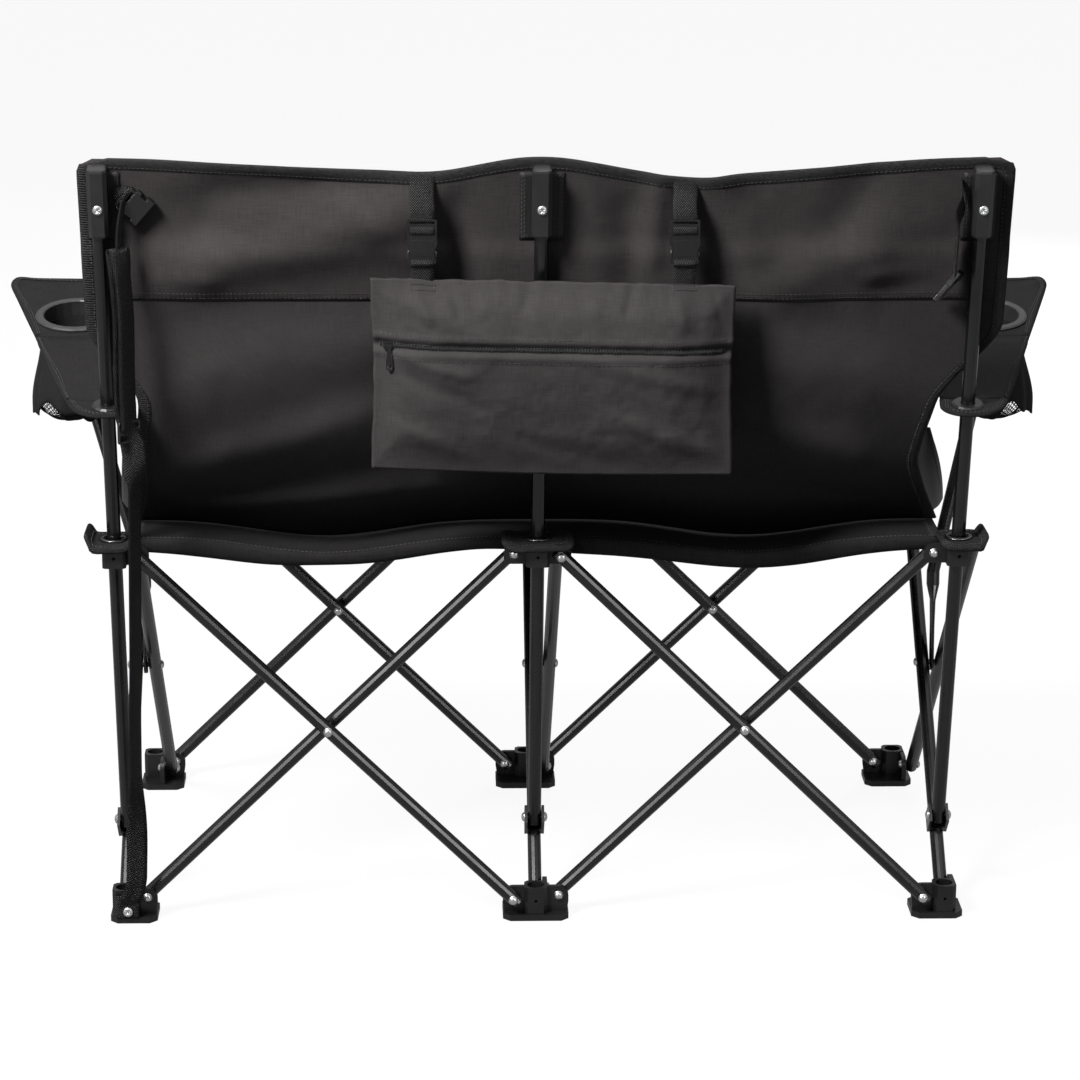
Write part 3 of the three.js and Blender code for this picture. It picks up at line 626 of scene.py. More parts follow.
# %% [markdown]
# The back is one sling held by the three uprights: a woven band at the top and a smoother coated
# panel below it. Its top edge dips where the bag's straps pull on it, its sides tuck in at the
# arms, and its lower part leaves the uprights and curves forward to the seat. Soft folds run from
# the points that pull. They could be sculpted, but a table can be read and changed: each is a
# line from one x and z to another, with a width and a height.

# %% Tables for the back
FOLDS = [
    (-0.40, 0.722, -0.15, 0.785, 0.030, 0.0130), (-0.43, 0.800, -0.34, 0.782, 0.022, -0.0060),
    (-0.33, 0.815, -0.16, 0.832, 0.018, -0.0060), (-0.19, 0.80, -0.10, 0.72, 0.016, 0.0055),
    (-0.085, 0.80, -0.080, 0.72, 0.018, -0.0080), (-0.045, 0.84, -0.040, 0.74, 0.014, 0.0050),
    (0.045, 0.84, 0.055, 0.71, 0.014, 0.0070), (0.085, 0.80, 0.095, 0.71, 0.018, -0.0085),
    (0.120, 0.83, 0.112, 0.74, 0.012, 0.0060), (0.175, 0.83, 0.22, 0.76, 0.018, 0.0075),
    (0.20, 0.81, 0.30, 0.725, 0.022, -0.0055), (0.25, 0.72, 0.43, 0.79, 0.034, 0.0105),
    (0.34, 0.84, 0.30, 0.77, 0.022, -0.0045), (0.400, 0.735, 0.345, 0.728, 0.008, 0.0036),
    (0.405, 0.715, 0.350, 0.716, 0.007, -0.0028), (-0.405, 0.725, -0.34, 0.722, 0.008, 0.0032),
    (-0.42, 0.60, -0.12, 0.665, 0.040, 0.0080), (0.12, 0.665, 0.42, 0.60, 0.040, 0.0075),
    (-0.40, 0.50, -0.20, 0.565, 0.024, 0.0075), (0.20, 0.565, 0.40, 0.50, 0.024, 0.0075),
    (-0.34, 0.47, -0.12, 0.52, 0.018, -0.0055), (0.10, 0.53, 0.32, 0.47, 0.018, -0.0055),
    (-0.38, 0.455, -0.10, 0.480, 0.012, 0.0040), (0.10, 0.480, 0.38, 0.455, 0.012, 0.0040),
]
# How far each side reaches, by height, and how high the top edge is, by x.
LEFT_EDGE = [(0.42, 0.441), (0.47, 0.428), (0.55, 0.4235), (0.575, 0.4185), (0.594, 0.4185),
             (0.627, 0.440), (0.642, 0.455), (0.667, 0.469), (0.87, 0.4715)]
RIGHT_EDGE = [(0.42, 0.443), (0.474, 0.418), (0.514, 0.4035), (0.549, 0.4085), (0.594, 0.4195),
              (0.627, 0.446), (0.642, 0.4626), (0.667, 0.4815), (0.87, 0.4838)]
TOP_EDGE = [(-0.50, 0.852), (-0.42, 0.8505), (-0.34, 0.846), (-0.24, 0.841), (-0.12, 0.8362),
            (-0.08, 0.842), (-0.04, 0.8505), (0.0, 0.8540), (0.04, 0.8500), (0.08, 0.8418),
            (0.12, 0.8355), (0.16, 0.8300), (0.20, 0.8350), (0.30, 0.8428), (0.40, 0.8510),
            (0.50, 0.8545)]


def pressed(folds, x, z, stretch, lead, ease):
    """The height of all the folds at a place; they fade out beyond their ends."""
    total = 0.0
    for x0, z0, x1, z1, wide, high in folds:
        dx, dz = (x1 - x0) * stretch, z1 - z0
        px, pz = (x - x0) * stretch, z - z0
        run = dx * dx + dz * dz
        t = (px * dx + pz * dz) / run
        if -lead < t < 1 + lead:
            off = (px * dz - pz * dx) / math.sqrt(run)
            ends = smooth((t + lead) / ease) * smooth((1 + lead - t) / ease)
            total += high * ends * bell(off, wide)
    return total


def from_table(table, spot_at, soft=0.008):
    """A value from a short table, with the corners between its rows eased."""
    total = 0.0
    for shift in (-1, -0.5, 0, 0.5, 1):
        spot = min(table[-1][0], max(table[0][0], spot_at + shift * soft))
        for (x0, y0), (x1, y1) in zip(table, table[1:]):
            if spot <= x1:
                total += y0 + (y1 - y0) * (spot - x0) / (x1 - x0)
                break
    return total / 5


print(len(FOLDS), "folds")

# %% [markdown]
# One function gives every place on the back, by a share a of its half width and a share t of its
# height. A cloth simulation was left out, because a sling this tight hardly moves and its folds
# have to be where the photograph shows them. The back's foot follows the seat, so the seat's
# height comes first: it sags in each bay, less so along the line where its halves meet.

# %% Shape of the seat and of the back
SEAT_Z = 0.4279
SEAT_HALF = 0.434
SEAT_START, SEAT_DEEP = 0.013, 0.451
RIDGE_Y = 0.2385
HEM_Y = 0.085
BACK_REACH = 0.478
CORNER = 0.016
SEAM_Z = 0.7005
CURVE_Z = 0.600


def seat_height(x, y):
    bay = math.sin(math.pi * x / BAY) ** 4
    sag = math.sin(math.pi * min(1.0, max(0.0, (y - SEAT_START) / SEAT_DEEP)))
    ridge = 1 - 0.75 * bell(y - RIDGE_Y, 0.07)
    return SEAT_Z - 0.022 * sag * ridge * (0.05 + 0.95 * bay) - 0.017 * bay * (1 - sag)


def back_half(z, side):
    return from_table(LEFT_EDGE if side < 0 else RIGHT_EDGE, z)


def back_edges(a):
    hem = seat_height(a * SEAT_HALF, HEM_Y) + 0.0030
    return hem, from_table(TOP_EDGE, a * BACK_REACH, 0.02)


def back_point(a, t, off=0.0):
    hem, top = back_edges(a)
    z = hem + (top - hem) * t
    over = max(0.0, z - (top - CORNER))
    x = a * (back_half(z, a) - CORNER + math.sqrt(max(0.0, CORNER ** 2 - over ** 2)))
    front = -(z - HUB_Z) * math.tan(LEAN) + 0.0079 / math.cos(LEAN) + 0.002
    front += 0.004 * smooth((z - 0.746) / 0.025)
    between = math.sin(math.pi * x / BAY) ** 2
    sway = 0.005 * between * (1 - 0.5 * t) * smooth(t * 3)
    ripple = 0.0016 * noise.noise((x * 13, z * 13, 4.0))
    ripple += 0.0007 * noise.noise((x * 41, z * 41, 9.0))
    down = max(0.0, (CURVE_Z - z) / (CURVE_Z - hem))
    curve = (HEM_Y - TUBE) * down ** 2
    bulge = sway + pressed(FOLDS, x, z, 1, 0.4, 0.5) + ripple
    return at(x, front + curve - min(1.0, 2.2 * between) * bulge, z) + REARWARD * off


def back_spot(x, z, off=0.0):
    """The place on the back at a given x and height."""
    a = x / back_half(z, x)
    hem, top = back_edges(a)
    return back_point(a, (z - hem) / (top - hem), off)


def seam_share(a):
    hem, top = back_edges(a)
    return (SEAM_Z - hem) / (top - hem)


print("back at the seam:", [round(c, 3) for c in back_spot(0.2, 0.70)])

# %% [markdown]
# The band and the panel overlap by a few millimetres at a double-stitched seam. One sheet with
# two materials would do from afar, but the real back is two cloths with an edge that shows, so
# each is a sheet of its own. Both sheets ride on the centre upright.

# %% Back band and back panel
MIDDLE = "upright_centre"
BAND_ROWS, PANEL_ROWS = 24, 44


def gather(item):
    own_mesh(item)
    return item


def spread(count):
    return [-1 + 2 * i / (count - 1) for i in range(count)]


across = spread(133)
band_rows = [[back_point(a, seam_share(a) + (1 - seam_share(a)) * j / BAND_ROWS, 0.0008)
              for a in across] for j in range(BAND_ROWS + 1)]
panel_rows = [[back_point(a, (seam_share(a) + 0.02) * j / PANEL_ROWS)
               for a in across] for j in range(PANEL_ROWS + 1)]
back_band = gather(sheet_of("back_band", band_rows, BAND_CLOTH, MIDDLE, 0.0009))
back_panel = gather(sheet_of("back_panel_cloth", panel_rows, COATED_CLOTH, MIDDLE))
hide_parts("back_panel")
print("band", len(back_band.data.vertices), "panel", len(back_panel.data.vertices), "points")

# %% [markdown]
# A ribbed tape is folded round the top and the sides of the back and sewn through, and two rows
# of stitches join band and panel. A curve with a bevel could be the tape; here a section is swept
# along the edge's own points, which keeps it on the cloth wherever a fold takes it.

# %% Back binding and seam
BACK_TALL = 0.42


def side_edge(a, heights):
    return [(back_point(a, t * 0.985), back_point(a * 0.97, t * 0.97)) for t in heights]


pairs = side_edge(-1, steps(60))
pairs += [(back_point(a, 1.0), back_point(a * 0.985, 0.965)) for a in spread(121)[2:-2]]
pairs += side_edge(1, [1 - t for t in steps(60)])
edge, inside = zip(*pairs)
back_tape = gather(bind("back_binding", edge, inside, [REARWARD] * len(edge), MIDDLE,
                        width=0.0125, proud=0.0026))
inner_line = [e + (i - e).normalized() * 0.0100 + REARWARD * 0.0020 for e, i in pairs]
gather(sew("back_binding_stitches", inner_line, REARWARD, MIDDLE))
for number, lift in enumerate((0.0035, 0.0085)):
    line = [back_point(a, seam_share(a) + lift / BACK_TALL, 0.0019) for a in spread(181)[3:-3]]
    seam = gather(sew(f"back_seam_{number + 1}", line, REARWARD, MIDDLE, wide=0.0008, high=0.0004))
print("binding", len(back_tape.data.vertices), "points")

# %% [markdown]
# Behind each cap a smooth patch strengthens the cloth, with a double row of stitches near its
# edge. It could be a darker area of the band, but it is a second layer that stands proud of it.
# It takes its places from the back's own function, so that it lies on it everywhere.

# %% Cap patches
PATCHES = {"left": (-0.4625, -0.4285), "centre": (-0.0225, 0.0235), "right": (0.4315, 0.4665)}
PATCH_LOW, PATCH_TALL = 0.766, 0.838 - 0.766
SEWN_LOW, SEWN_TALL = 0.768, 0.068
for side, (x0, x1) in PATCHES.items():
    rows = [[back_spot(x0 + (x1 - x0) * i / 8, PATCH_LOW + PATCH_TALL * j / 14, 0.0021)
             for i in range(9)] for j in range(15)]
    patch = gather(sheet_of(f"cap_patch_{side}", rows, PATCH_CLOTH, MIDDLE, 0.0006))
    for number, inset in enumerate((0.0022, 0.0052)):
        inner, outer = (x0 + inset, x1 - inset) if side == "right" else (x1 - inset, x0 + inset)
        path = [(inner, SEWN_LOW + SEWN_TALL * (1 - t)) for t in steps(20)[:-1]]
        path += [(inner + (outer - inner) * t, SEWN_LOW + inset * 0.6) for t in steps(10)]
        if side == "centre":
            path += [(outer, SEWN_LOW + SEWN_TALL * t) for t in steps(20)]
        line = [back_spot(x, z, 0.0025) for x, z in path]
        seam = sew(f"cap_patch_{side}_stitches_{number + 1}", line, REARWARD, MIDDLE,
                   wide=0.0007, high=0.0003)
        gather(seam)
print(len(PATCHES), "patches")

# %% [markdown]
# The seat is a sling between the six hubs. It could be one sheet, but it rises like a roof when
# the chair folds, so it is made in a rear and a front half. A tape binds its sides, and the rear
# and front hems are turned down; the rear one hangs unevenly, as a table of its depth says.

# %% Seat halves
HEM_DROP = [(-0.44, 0.013), (-0.35, 0.019), (-0.30, 0.018), (-0.225, 0.0115), (-0.15, 0.015),
            (-0.05, 0.011), (0.05, 0.018), (0.10, 0.019), (0.225, 0.0164), (0.30, 0.019),
            (0.40, 0.014), (0.44, 0.013)]
HEM_TALL = 0.0125
HEM_HALF = 0.4335
HEM_SECTION = [(0.0, 0.0), (0.0012, 0.0016), (0.004, 0.0024), (0.008, 0.0022), (0.011, 0.0010),
               (HEM_TALL, -0.0008)]


def seat_point(x, y, off=0.0):
    ripple = 0.0015 * noise.noise((x * 11, y * 17, 2.0)) * math.sin(math.pi * x / BAY) ** 2
    return at(x, y, seat_height(x, y) + ripple + off)


for half, start, stop, way in (("rear", SEAT_START, 0.2246, -1), ("front", 0.2254, 0.464, 1)):
    node = f"seat_panel_{half}"
    ys = [start + (stop - start) * j / 25 for j in range(26)]
    across = spread(97)
    rows = [[seat_point(SEAT_HALF * a, y) for a in across] for y in ys]
    cloth = gather(sheet_of(f"seat_cloth_{half}", rows, SEAT_CLOTH, node))
    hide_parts(node)
    ys = [start + (stop - start) * i / 30 for i in range(31)]
    for side, a in SIDES.items():
        name = f"seat_binding_{half}_{side}"
        tape = bind(name, [seat_point(a * 0.4345, y) for y in ys],
                    [seat_point(a * 0.42, y) for y in ys], [UP] * len(ys), node, width=0.012)
        gather(tape)
        line = [seat_point(a * 0.4250, y, 0.0017) for y in ys]
        gather(sew(f"{name}_stitches", line, UP, node))
    edge_y = start if way < 0 else stop
    deep = [from_table(HEM_DROP, HEM_HALF * a, 0.02) / HEM_TALL if way < 0 else 1.0
            for a in across]
    rows = [[seat_point(HEM_HALF * a, edge_y) + Vector((0, way * out, 0.0006 - drop * d))
             for a, d in zip(across, deep)] for drop, out in HEM_SECTION]
    hem = gather(sheet_of(f"seat_hem_{half}", rows, SEAT_CLOTH, node, 0.0012))
    line = [seat_point(0.432 * a, edge_y - way * 0.004, 0.0011) for a in spread(121)]
    gather(sew(f"seat_hem_{half}_stitches", line, UP, node))
    print(half, "half:", len(cloth.data.vertices), "points")

# %% [markdown]
# Where a cut has a hole in it, such as an arm with its cup holder or a tab with its eyelet, a
# plain grid won't do. A Boolean modifier would cut the hole, but leaves long thin faces that
# shade badly on bent cloth. So these pieces are drawn as outlines first: corners are rounded off
# and long sides are parted into short ones.

# %% Helpers for outlines
def inside_of(point, outline):
    x, y = point
    hit = False
    for (x0, y0), (x1, y1) in zip(outline, outline[1:] + outline[:1]):
        if (y0 > y) != (y1 > y) and x < (x1 - x0) * (y - y0) / (y1 - y0) + x0:
            hit = not hit
    return hit


def round_off(corners, radii, count=5):
    """A polygon with its corners rounded by curves that touch both sides."""
    path = []
    for i, (corner, radius) in enumerate(zip(corners, radii)):
        here = Vector(corner)
        before = (Vector(corners[i - 1]) - here).normalized()
        after = (Vector(corners[(i + 1) % len(corners)]) - here).normalized()
        path += [tuple(here + before * radius * (1 - t) ** 2 + after * radius * t ** 2)
                 for t in steps(count)]
    return path


def refine(outline, spacing):
    fine = []
    for a, b in zip(outline, outline[1:] + outline[:1]):
        parts = max(1, round(math.dist(a, b) / spacing))
        fine += [(a[0] + (b[0] - a[0]) * i / parts, a[1] + (b[1] - a[1]) * i / parts)
                 for i in range(parts)]
    return fine


def circle(x, y, radius, count):
    turns = [2 * math.pi * i / count for i in range(count)]
    return [(x + radius * math.cos(t), y + radius * math.sin(t)) for t in turns]


print("outline helpers ready")

# %% [markdown]
# The outline and its holes are then filled with evenly spaced points and joined into triangles by
# a routine that Blender has for it, which keeps them as even as it can. It fills the holes as
# well, so triangles whose middle lies outside the cloth are dropped.

# %% Helpers for cuts with holes
def cut(outline, holes, spacing):
    loops = [refine(outline, spacing)] + holes
    points, sides = [], []
    for loop in loops:
        base = len(points)
        points += loop
        sides += [(base + i, base + (i + 1) % len(loop)) for i in range(len(loop))]

    def filled(spot, border):
        return inside_of(spot, border) and not any(inside_of(spot, h) for h in holes)

    lows = [min(p[k] for p in outline) for k in (0, 1)]
    highs = [max(p[k] for p in outline) for k in (0, 1)]
    rim = [Vector(p) for p in points]
    for j in range(int((highs[1] - lows[1]) / spacing) + 1):
        for i in range(int((highs[0] - lows[0]) / spacing) + 1):
            spot = (lows[0] + (i + 0.5 * (j % 2)) * spacing, lows[1] + j * spacing * 0.9)
            clear = all((Vector(spot) - r).length > spacing * 0.55 for r in rim)
            if clear and filled(spot, outline):
                points.append(spot)
    found = delaunay_2d_cdt([Vector(p) for p in points], sides, [], 0, 1e-6)
    middles = [sum((found[0][i] for i in face), Vector((0, 0))) / 3 for face in found[2]]
    faces = [tuple(face) for face, middle in zip(found[2], middles) if filled(middle, loops[0])]
    return [tuple(p) for p in found[0]], faces


def cut_piece(name, outline, holes, spacing, place, finish, body, thickness=0.0018):
    points, faces = cut(outline, holes, spacing)
    item = make_piece(name, [place(*p) for p in points], faces, finish, body, points)
    return thicken(item, thickness)


print("cutting helpers ready")

# %% [markdown]
# The seat's rear tabs. Each is two layers of cloth with a bound edge that wraps the column just
# above the hub, with a lip turned down at the rear and, outside, an end rolled up. The upright
# goes through a metal-rimmed eyelet in it. A Screw modifier could turn the eyelet; here its
# section is turned by a few lines, because its rim has to follow the bent tab.

# %% Shape of the seat tabs
TAB_Z = 0.4308
LIP_Y, LIP_BEND, LIP_TURN = -0.0165, 0.006, 1.35
EYELET = [(0.0108, -0.0022), (0.0150, -0.0026), (0.0155, -0.0018), (0.0122, -0.0004),
          (0.0122, 0.0010), (0.0153, 0.0016), (0.0148, 0.0026), (0.0118, 0.0034), (0.0108, 0.0026)]


def tab_place(column, side):
    def place(x, y):
        over = max(0.0, LIP_Y - y)
        bend = min(LIP_TURN, over / LIP_BEND)
        rest = max(0.0, over - LIP_BEND * LIP_TURN)
        back = LIP_BEND * math.sin(bend) + rest * math.cos(LIP_TURN)
        down = LIP_BEND * (1 - math.cos(bend)) + rest * math.sin(LIP_TURN)
        out = smooth((x * side - 0.019) / 0.016)
        wave = 0.0014 * math.sin(x * 110 + side) * smooth((abs(x) - 0.010) / 0.01)
        return at(column + x - side * 0.005 * out, -0.003 + max(y, LIP_Y) - back,
                  TAB_Z - down + 0.009 * out * out + wave)
    return place


def tab_facing(place, x, y, step=0.0005):
    aside = place(x + step, y) - place(x - step, y)
    return aside.cross(place(x, y + step) - place(x, y - step)).normalized()


def turned_ring(name, section, count, place, finish, body):
    """A turned piece: a closed section of radius and height, swept round."""
    turns = [2 * math.pi * i / count for i in range(count)]
    rows = [[place(r * math.cos(t), r * math.sin(t), h) for r, h in section] for t in turns]
    width = len(section)
    faces = [(i * width + k, i * width + (k + 1) % width,
              ((i + 1) % count) * width + (k + 1) % width, ((i + 1) % count) * width + k)
             for i in range(count) for k in range(width)]
    points = joined(rows)
    return make_piece(name, points, faces, finish, body, [(p.x, p.y) for p in points])


print("section of an eyelet:", len(EYELET), "points")

# %% [markdown]
# The three tabs differ only in how far they reach to each side. They ride on the hubs, not on the
# seat, so that they stay on the columns when the seat rises.

# %% Seat tabs and their eyelets
for side, column in COLUMNS.items():
    way = SIDES.get(side, 0)
    reach_out, reach_in = (0.035, 0.020) if way else (0.038, 0.038)
    left, right = (-reach_out, reach_in) if way < 0 else (-reach_in, reach_out)
    shape = round_off([(left, -0.027), (right, -0.027), (right, 0.030), (left, 0.030)],
                      [0.014, 0.014, 0.004, 0.004])
    place = tab_place(column, way)
    hub = f"hub_rear_{side}"
    tab = cut_piece(f"seat_tab_{side}", shape, [circle(0, 0, 0.0116, 20)], 0.006, place,
                    SEAT_CLOTH, hub, 0.0030)
    rim = refine(shape, 0.005)
    rim.append(rim[0])
    inner = [place(x * 0.85, y * 0.85) for x, y in rim]
    ways = [tab_facing(place, *p) for p in rim]
    tape = bind(f"seat_tab_{side}_binding", [place(*p) for p in rim], inner, ways, hub,
                width=0.0085, proud=0.0027)
    sewn = [(x * 0.80, y * 0.76) for x, y in rim]
    line = [place(*p) + tab_facing(place, *p) * 0.0020 for p in sewn]
    sew(f"seat_tab_{side}_stitches", line, UP, hub)
    eyelet = turned_ring(f"seat_eyelet_{side}", EYELET, 28,
                         lambda x, y, z: place(x, y) + Vector((0, 0, z + 0.001)), DARK_ZINC, hub)
print("3 seat tabs with eyelets")

# %% [markdown]
# The arms are flaps of cloth, square to the uprights. The rear end goes round the upright with an
# eyelet, the front end is sewn into a pocket over the strut, and a plastic ring in it holds a
# cup. The part round the ring stays flat on the strut and the end round the upright stays with its
# eyelet, so the flap is made as three pieces.

# %% Shape of the arms
ARM_Z = 0.585
ARM_OUT = Vector((0, -math.sin(LEAN), math.cos(LEAN)))
ARM_ALONG = Vector((0, math.cos(LEAN), math.sin(LEAN)))
SEAM_Y, END_Y = 0.182, 0.016
RING_X, RING_Y = 0.053, 0.238
FLAP = [(-0.030, -0.014), (-0.013, -0.028), (0.016, -0.028), (0.037, -0.012),
        (0.136, 0.331), (0.128, 0.348), (0.014, 0.345), (0.005, 0.333)]
FLAP_ROUND = [0.010, 0.010, 0.010, 0.014, 0.009, 0.008, 0.007, 0.006]
flap_outline = refine(round_off(FLAP, FLAP_ROUND), 0.006)


def arm_place(side):
    base = Vector((side * BAY, upright_y(ARM_Z), ARM_Z))

    def place(x, y):
        slack = -0.0055 * math.sin(math.pi * min(1.0, max(0.0, y / 0.185))) * smooth(y / 0.02)
        edge = 0.0025 * math.sin(y * 34 + 0.7 * side) * smooth((x - 0.055 - 0.2 * y) / 0.03)
        pocket = 0.0045 * math.exp(-((x - 0.128) / 0.012) ** 2 - ((y - 0.336) / 0.012) ** 2)
        lift = slack + edge * smooth((y - 0.02) / 0.05) + pocket
        return base + Vector((side * x, y * math.cos(LEAN) - lift * math.sin(LEAN),
                              y * math.sin(LEAN) + lift * math.cos(LEAN)))
    return place


def part_between(outline, low, high):
    """The outline between two lines across the arm."""
    for level, sign in ((low, 1), (high, -1)):
        path = []
        for p, q in zip(outline, outline[1:] + outline[:1]):
            p_in, q_in = sign * (p[1] - level) >= 0, sign * (q[1] - level) >= 0
            if p_in:
                path.append(p)
            if p_in != q_in:
                t = (level - p[1]) / (q[1] - p[1])
                path.append((p[0] + (q[0] - p[0]) * t, level))
        outline = path
    return outline


def hem_paths(shape):
    """The stretches of an outline that aren't a cut across the arm."""
    def on_cut(p, q):
        return any(abs(p[1] - y) < 1e-6 and abs(q[1] - y) < 1e-6 for y in (SEAM_Y, END_Y))
    count = len(shape)
    first = next(i for i in range(count) if on_cut(shape[i - 1], shape[i]))
    paths = [[shape[first]]]
    for k in range(first, first + count - 1):
        p, q = shape[k % count], shape[(k + 1) % count]
        if on_cut(p, q):
            paths.append([q])
        else:
            paths[-1].append(q)
    return [path for path in paths if len(path) > 1]


print("outline of an arm:", len(flap_outline), "points")

# %% [markdown]
# Each part of an arm has its limits along the arm, its hole, the size of its cut, its area, and
# the point that its hem is turned towards. The parts differ in these values only, so one loop
# makes them all, with two rows of stitches along every hem.

# %% Arm flaps
ARM_PARTS = {
    "front": (SEAM_Y, 1.0, [circle(RING_X, RING_Y, 0.0390, 44)], (0.14, 0.17), 0.0185,
              (0.045, 0.26)),
    "middle": (END_Y, SEAM_Y, [], (0.10, 0.17), 0.0125, (0.022, 0.10)),
    "end": (-1.0, END_Y, [circle(0, 0, 0.0112, 20)], (0.075, 0.046), 0.0026, (0.004, 0.004)),
}
for name, side in SIDES.items():
    place = arm_place(side)
    for part, (low, high, holes, flat_size, area, (mid_x, mid_y)) in ARM_PARTS.items():
        body = f"arm_eyelet_{name}" if part == "end" else f"arm_{name}"
        shape = part_between(flap_outline, low, high)
        flap = cut_piece(f"arm_flap_{part}_{name}", shape, holes, 0.0075, place, ARM_CLOTH_PAINTED_SHADE, body)
        pieces = [flap]
        pull = 0.3 if part == "end" else 0.12
        for number, open_path in enumerate(hem_paths(shape)):
            label = f"arm_hem_{part}_{name}_{number + 1}"
            path = [place(*p) for p in open_path]
            inner = [place(x + (mid_x - x) * pull, y + (mid_y - y) * pull) for x, y in open_path]
            pieces.append(bind(label, path, inner, [ARM_OUT] * len(path), body, ARM_CLOTH_PAINTED_SHADE,
                               0.0085, 0.0020))
            for row, inset in enumerate((0.0050, 0.0078)):
                line = [e + (i - e).normalized() * inset + ARM_OUT * 0.0019
                        for e, i in zip(path, inner)]
                pieces.append(sew(f"{label}_stitches_{row + 1}", line, ARM_OUT, body,
                                  wide=0.0008, high=0.0005))
        for item in pieces:
            if part == "middle":
                tuple(place(0.05, SEAM_Y))
                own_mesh(item)
        if part == "front":
            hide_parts(f"arm_panel_{name}")
print("2 arms, each in three parts")

# %% [markdown]
# Cup holders. Under each ring hangs a soft black cup. Its cloth ends in three uneven lobes, and a
# net closes the bottom. The cup is a turned grid with hollows pressed into it. A see-through
# texture would do for the net from afar; here it is a fine grid of faces with a Wireframe
# modifier, so that its holes are real.

# %% Cup sleeves and nets
CUP_SHIFT = 0.012


def cup_shape(side):
    base = Vector((side * (BAY + RING_X), upright_y(ARM_Z), ARM_Z)) + ARM_ALONG * RING_Y

    def wall(turn, down, inset=0.0):
        wide = 0.0393 + 0.0012 * smooth(down / 0.10) - inset
        sink = smooth((down - 0.016) / 0.08)
        wide *= 1 + sink * (0.085 * math.sin(3 * turn + 0.6) + 0.030 * math.sin(7 * turn + side)
                            + 0.02 * math.sin(11 * turn + 2))
        flat = Vector((wide * math.cos(turn), wide * math.sin(turn) * math.cos(LEAN), 0))
        tilt = UP * (wide * math.sin(turn) * math.sin(LEAN)) * (1 - sink)
        return base + flat + tilt + Vector((side * CUP_SHIFT * sink, 0, -down))

    def end(turn):
        return 0.101 + 0.009 * math.sin(3 * turn + 1.9 * side) + 0.004 * math.sin(7 * turn + 0.4)
    return wall, end, base + Vector((side * CUP_SHIFT, 0, -0.1155))


for name, side in SIDES.items():
    wall, end, low = cup_shape(side)
    turns = [2 * math.pi * i / 72 for i in range(73)]
    rows = [[wall(t, 0.0020 + (end(t) - 0.0020) * j / 18) for t in turns] for j in range(19)]
    sleeve = sheet_of(f"cup_sleeve_cloth_{name}", rows, SLEEVE_CLOTH, f"cup_{name}", 0.0014)
    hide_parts(f"cup_sleeve_{name}")
    rims = [wall(turn, end(turn) - 0.012, 0.0012) for turn in turns[:-1]]
    points = []
    for t in steps(14):
        for rim in rims:
            spot = rim.lerp(low, t)
            spot.z = rim.z + (low.z - rim.z) * (1 - (1 - t) ** 2.6)
            points.append(spot)
    net = make_piece(f"cup_net_{name}", points, grid_faces(15, 72, True), NET, f"cup_{name}")
    net.modifiers.new("threads", "WIREFRAME").thickness = 0.0009
print("2 sleeves with nets")

# %% [markdown]
# Rivets and screws. Every tube is held by zinc-plated rivets: a domed head on the open side of
# the tube or ear, and one at each crossing. The caps and the strap's end carry cross-head screws.
# A flattened sphere would pass for a head from afar, but has neither a lip nor a cross, so a head
# is a turned dome with a thin washer lip; the screw's dome has a cross pressed into it.

# %% Helpers for rivets and screws
# Each row of a head is its share of the radius and its share of the height.
DOME_ROWS = [(1.0, 0.0), (1.0, 0.16)]
DOME_ROWS += [(math.cos(t) * 0.93, 0.18 + 0.82 * math.sin(t))
              for t in [math.pi / 2 * k / 5 for k in range(5)]]
CROSS_ROWS = [(1.0, 0.0), (1.0, 0.35), (0.90, 0.62), (0.78, 0.80)]
CROSS_ROWS += [(r, 0.98 - 0.14 * r * r) for r in (0.62, 0.5, 0.38, 0.27, 0.16, 0.07)]


def dome(centre, axis, radius, high, cross=False):
    axis = axis.normalized()
    side = axis.orthogonal().normalized()
    other = axis.cross(side)
    rows, count = (CROSS_ROWS, 32) if cross else (DOME_ROWS, 20)
    points = []
    for share, lift in rows:
        for x, y in circle(0, 0, share, count):
            far, near = max(abs(x), abs(y)), min(abs(x), abs(y))
            sunk = 0.55 * (1 - 0.6 * far) if cross and far < 0.60 and near < 0.13 else 0.0
            on_disc = centre + side * (x * radius) + other * (y * radius)
            points.append(on_disc + axis * (high * (lift - sunk)))
    tip = len(points)
    points.append(centre + axis * high * (0.45 if cross else 1.0))
    faces = grid_faces(len(rows), count, True)
    last = tip - count
    faces += [(last + i, last + (i + 1) % count, tip) for i in range(count)]
    return points, faces


def heads(name, body, domes):
    points, faces = [], []
    for some_points, some_faces in domes:
        base = len(points)
        points += some_points
        faces += [tuple(base + i for i in face) for face in some_faces]
    item = make_piece(name, points, faces, ZINC, body, [(p.x, p.z) for p in points])
    return len(domes)


print("rows of a rivet and of a screw:", len(DOME_ROWS), len(CROSS_ROWS))

# %% [markdown]
# The heads sit where the pins of the tubes are: two ends and a crossing on each tube, with a head
# on the tube's own face and one behind each ear. The rising side tubes carry the pin of the
# upright's bracket too. All the heads that one body carries are made as one piece, so that they
# move with it.

# %% Rivet and screw heads
SUNK = 0.0006
EAR = 0.0025
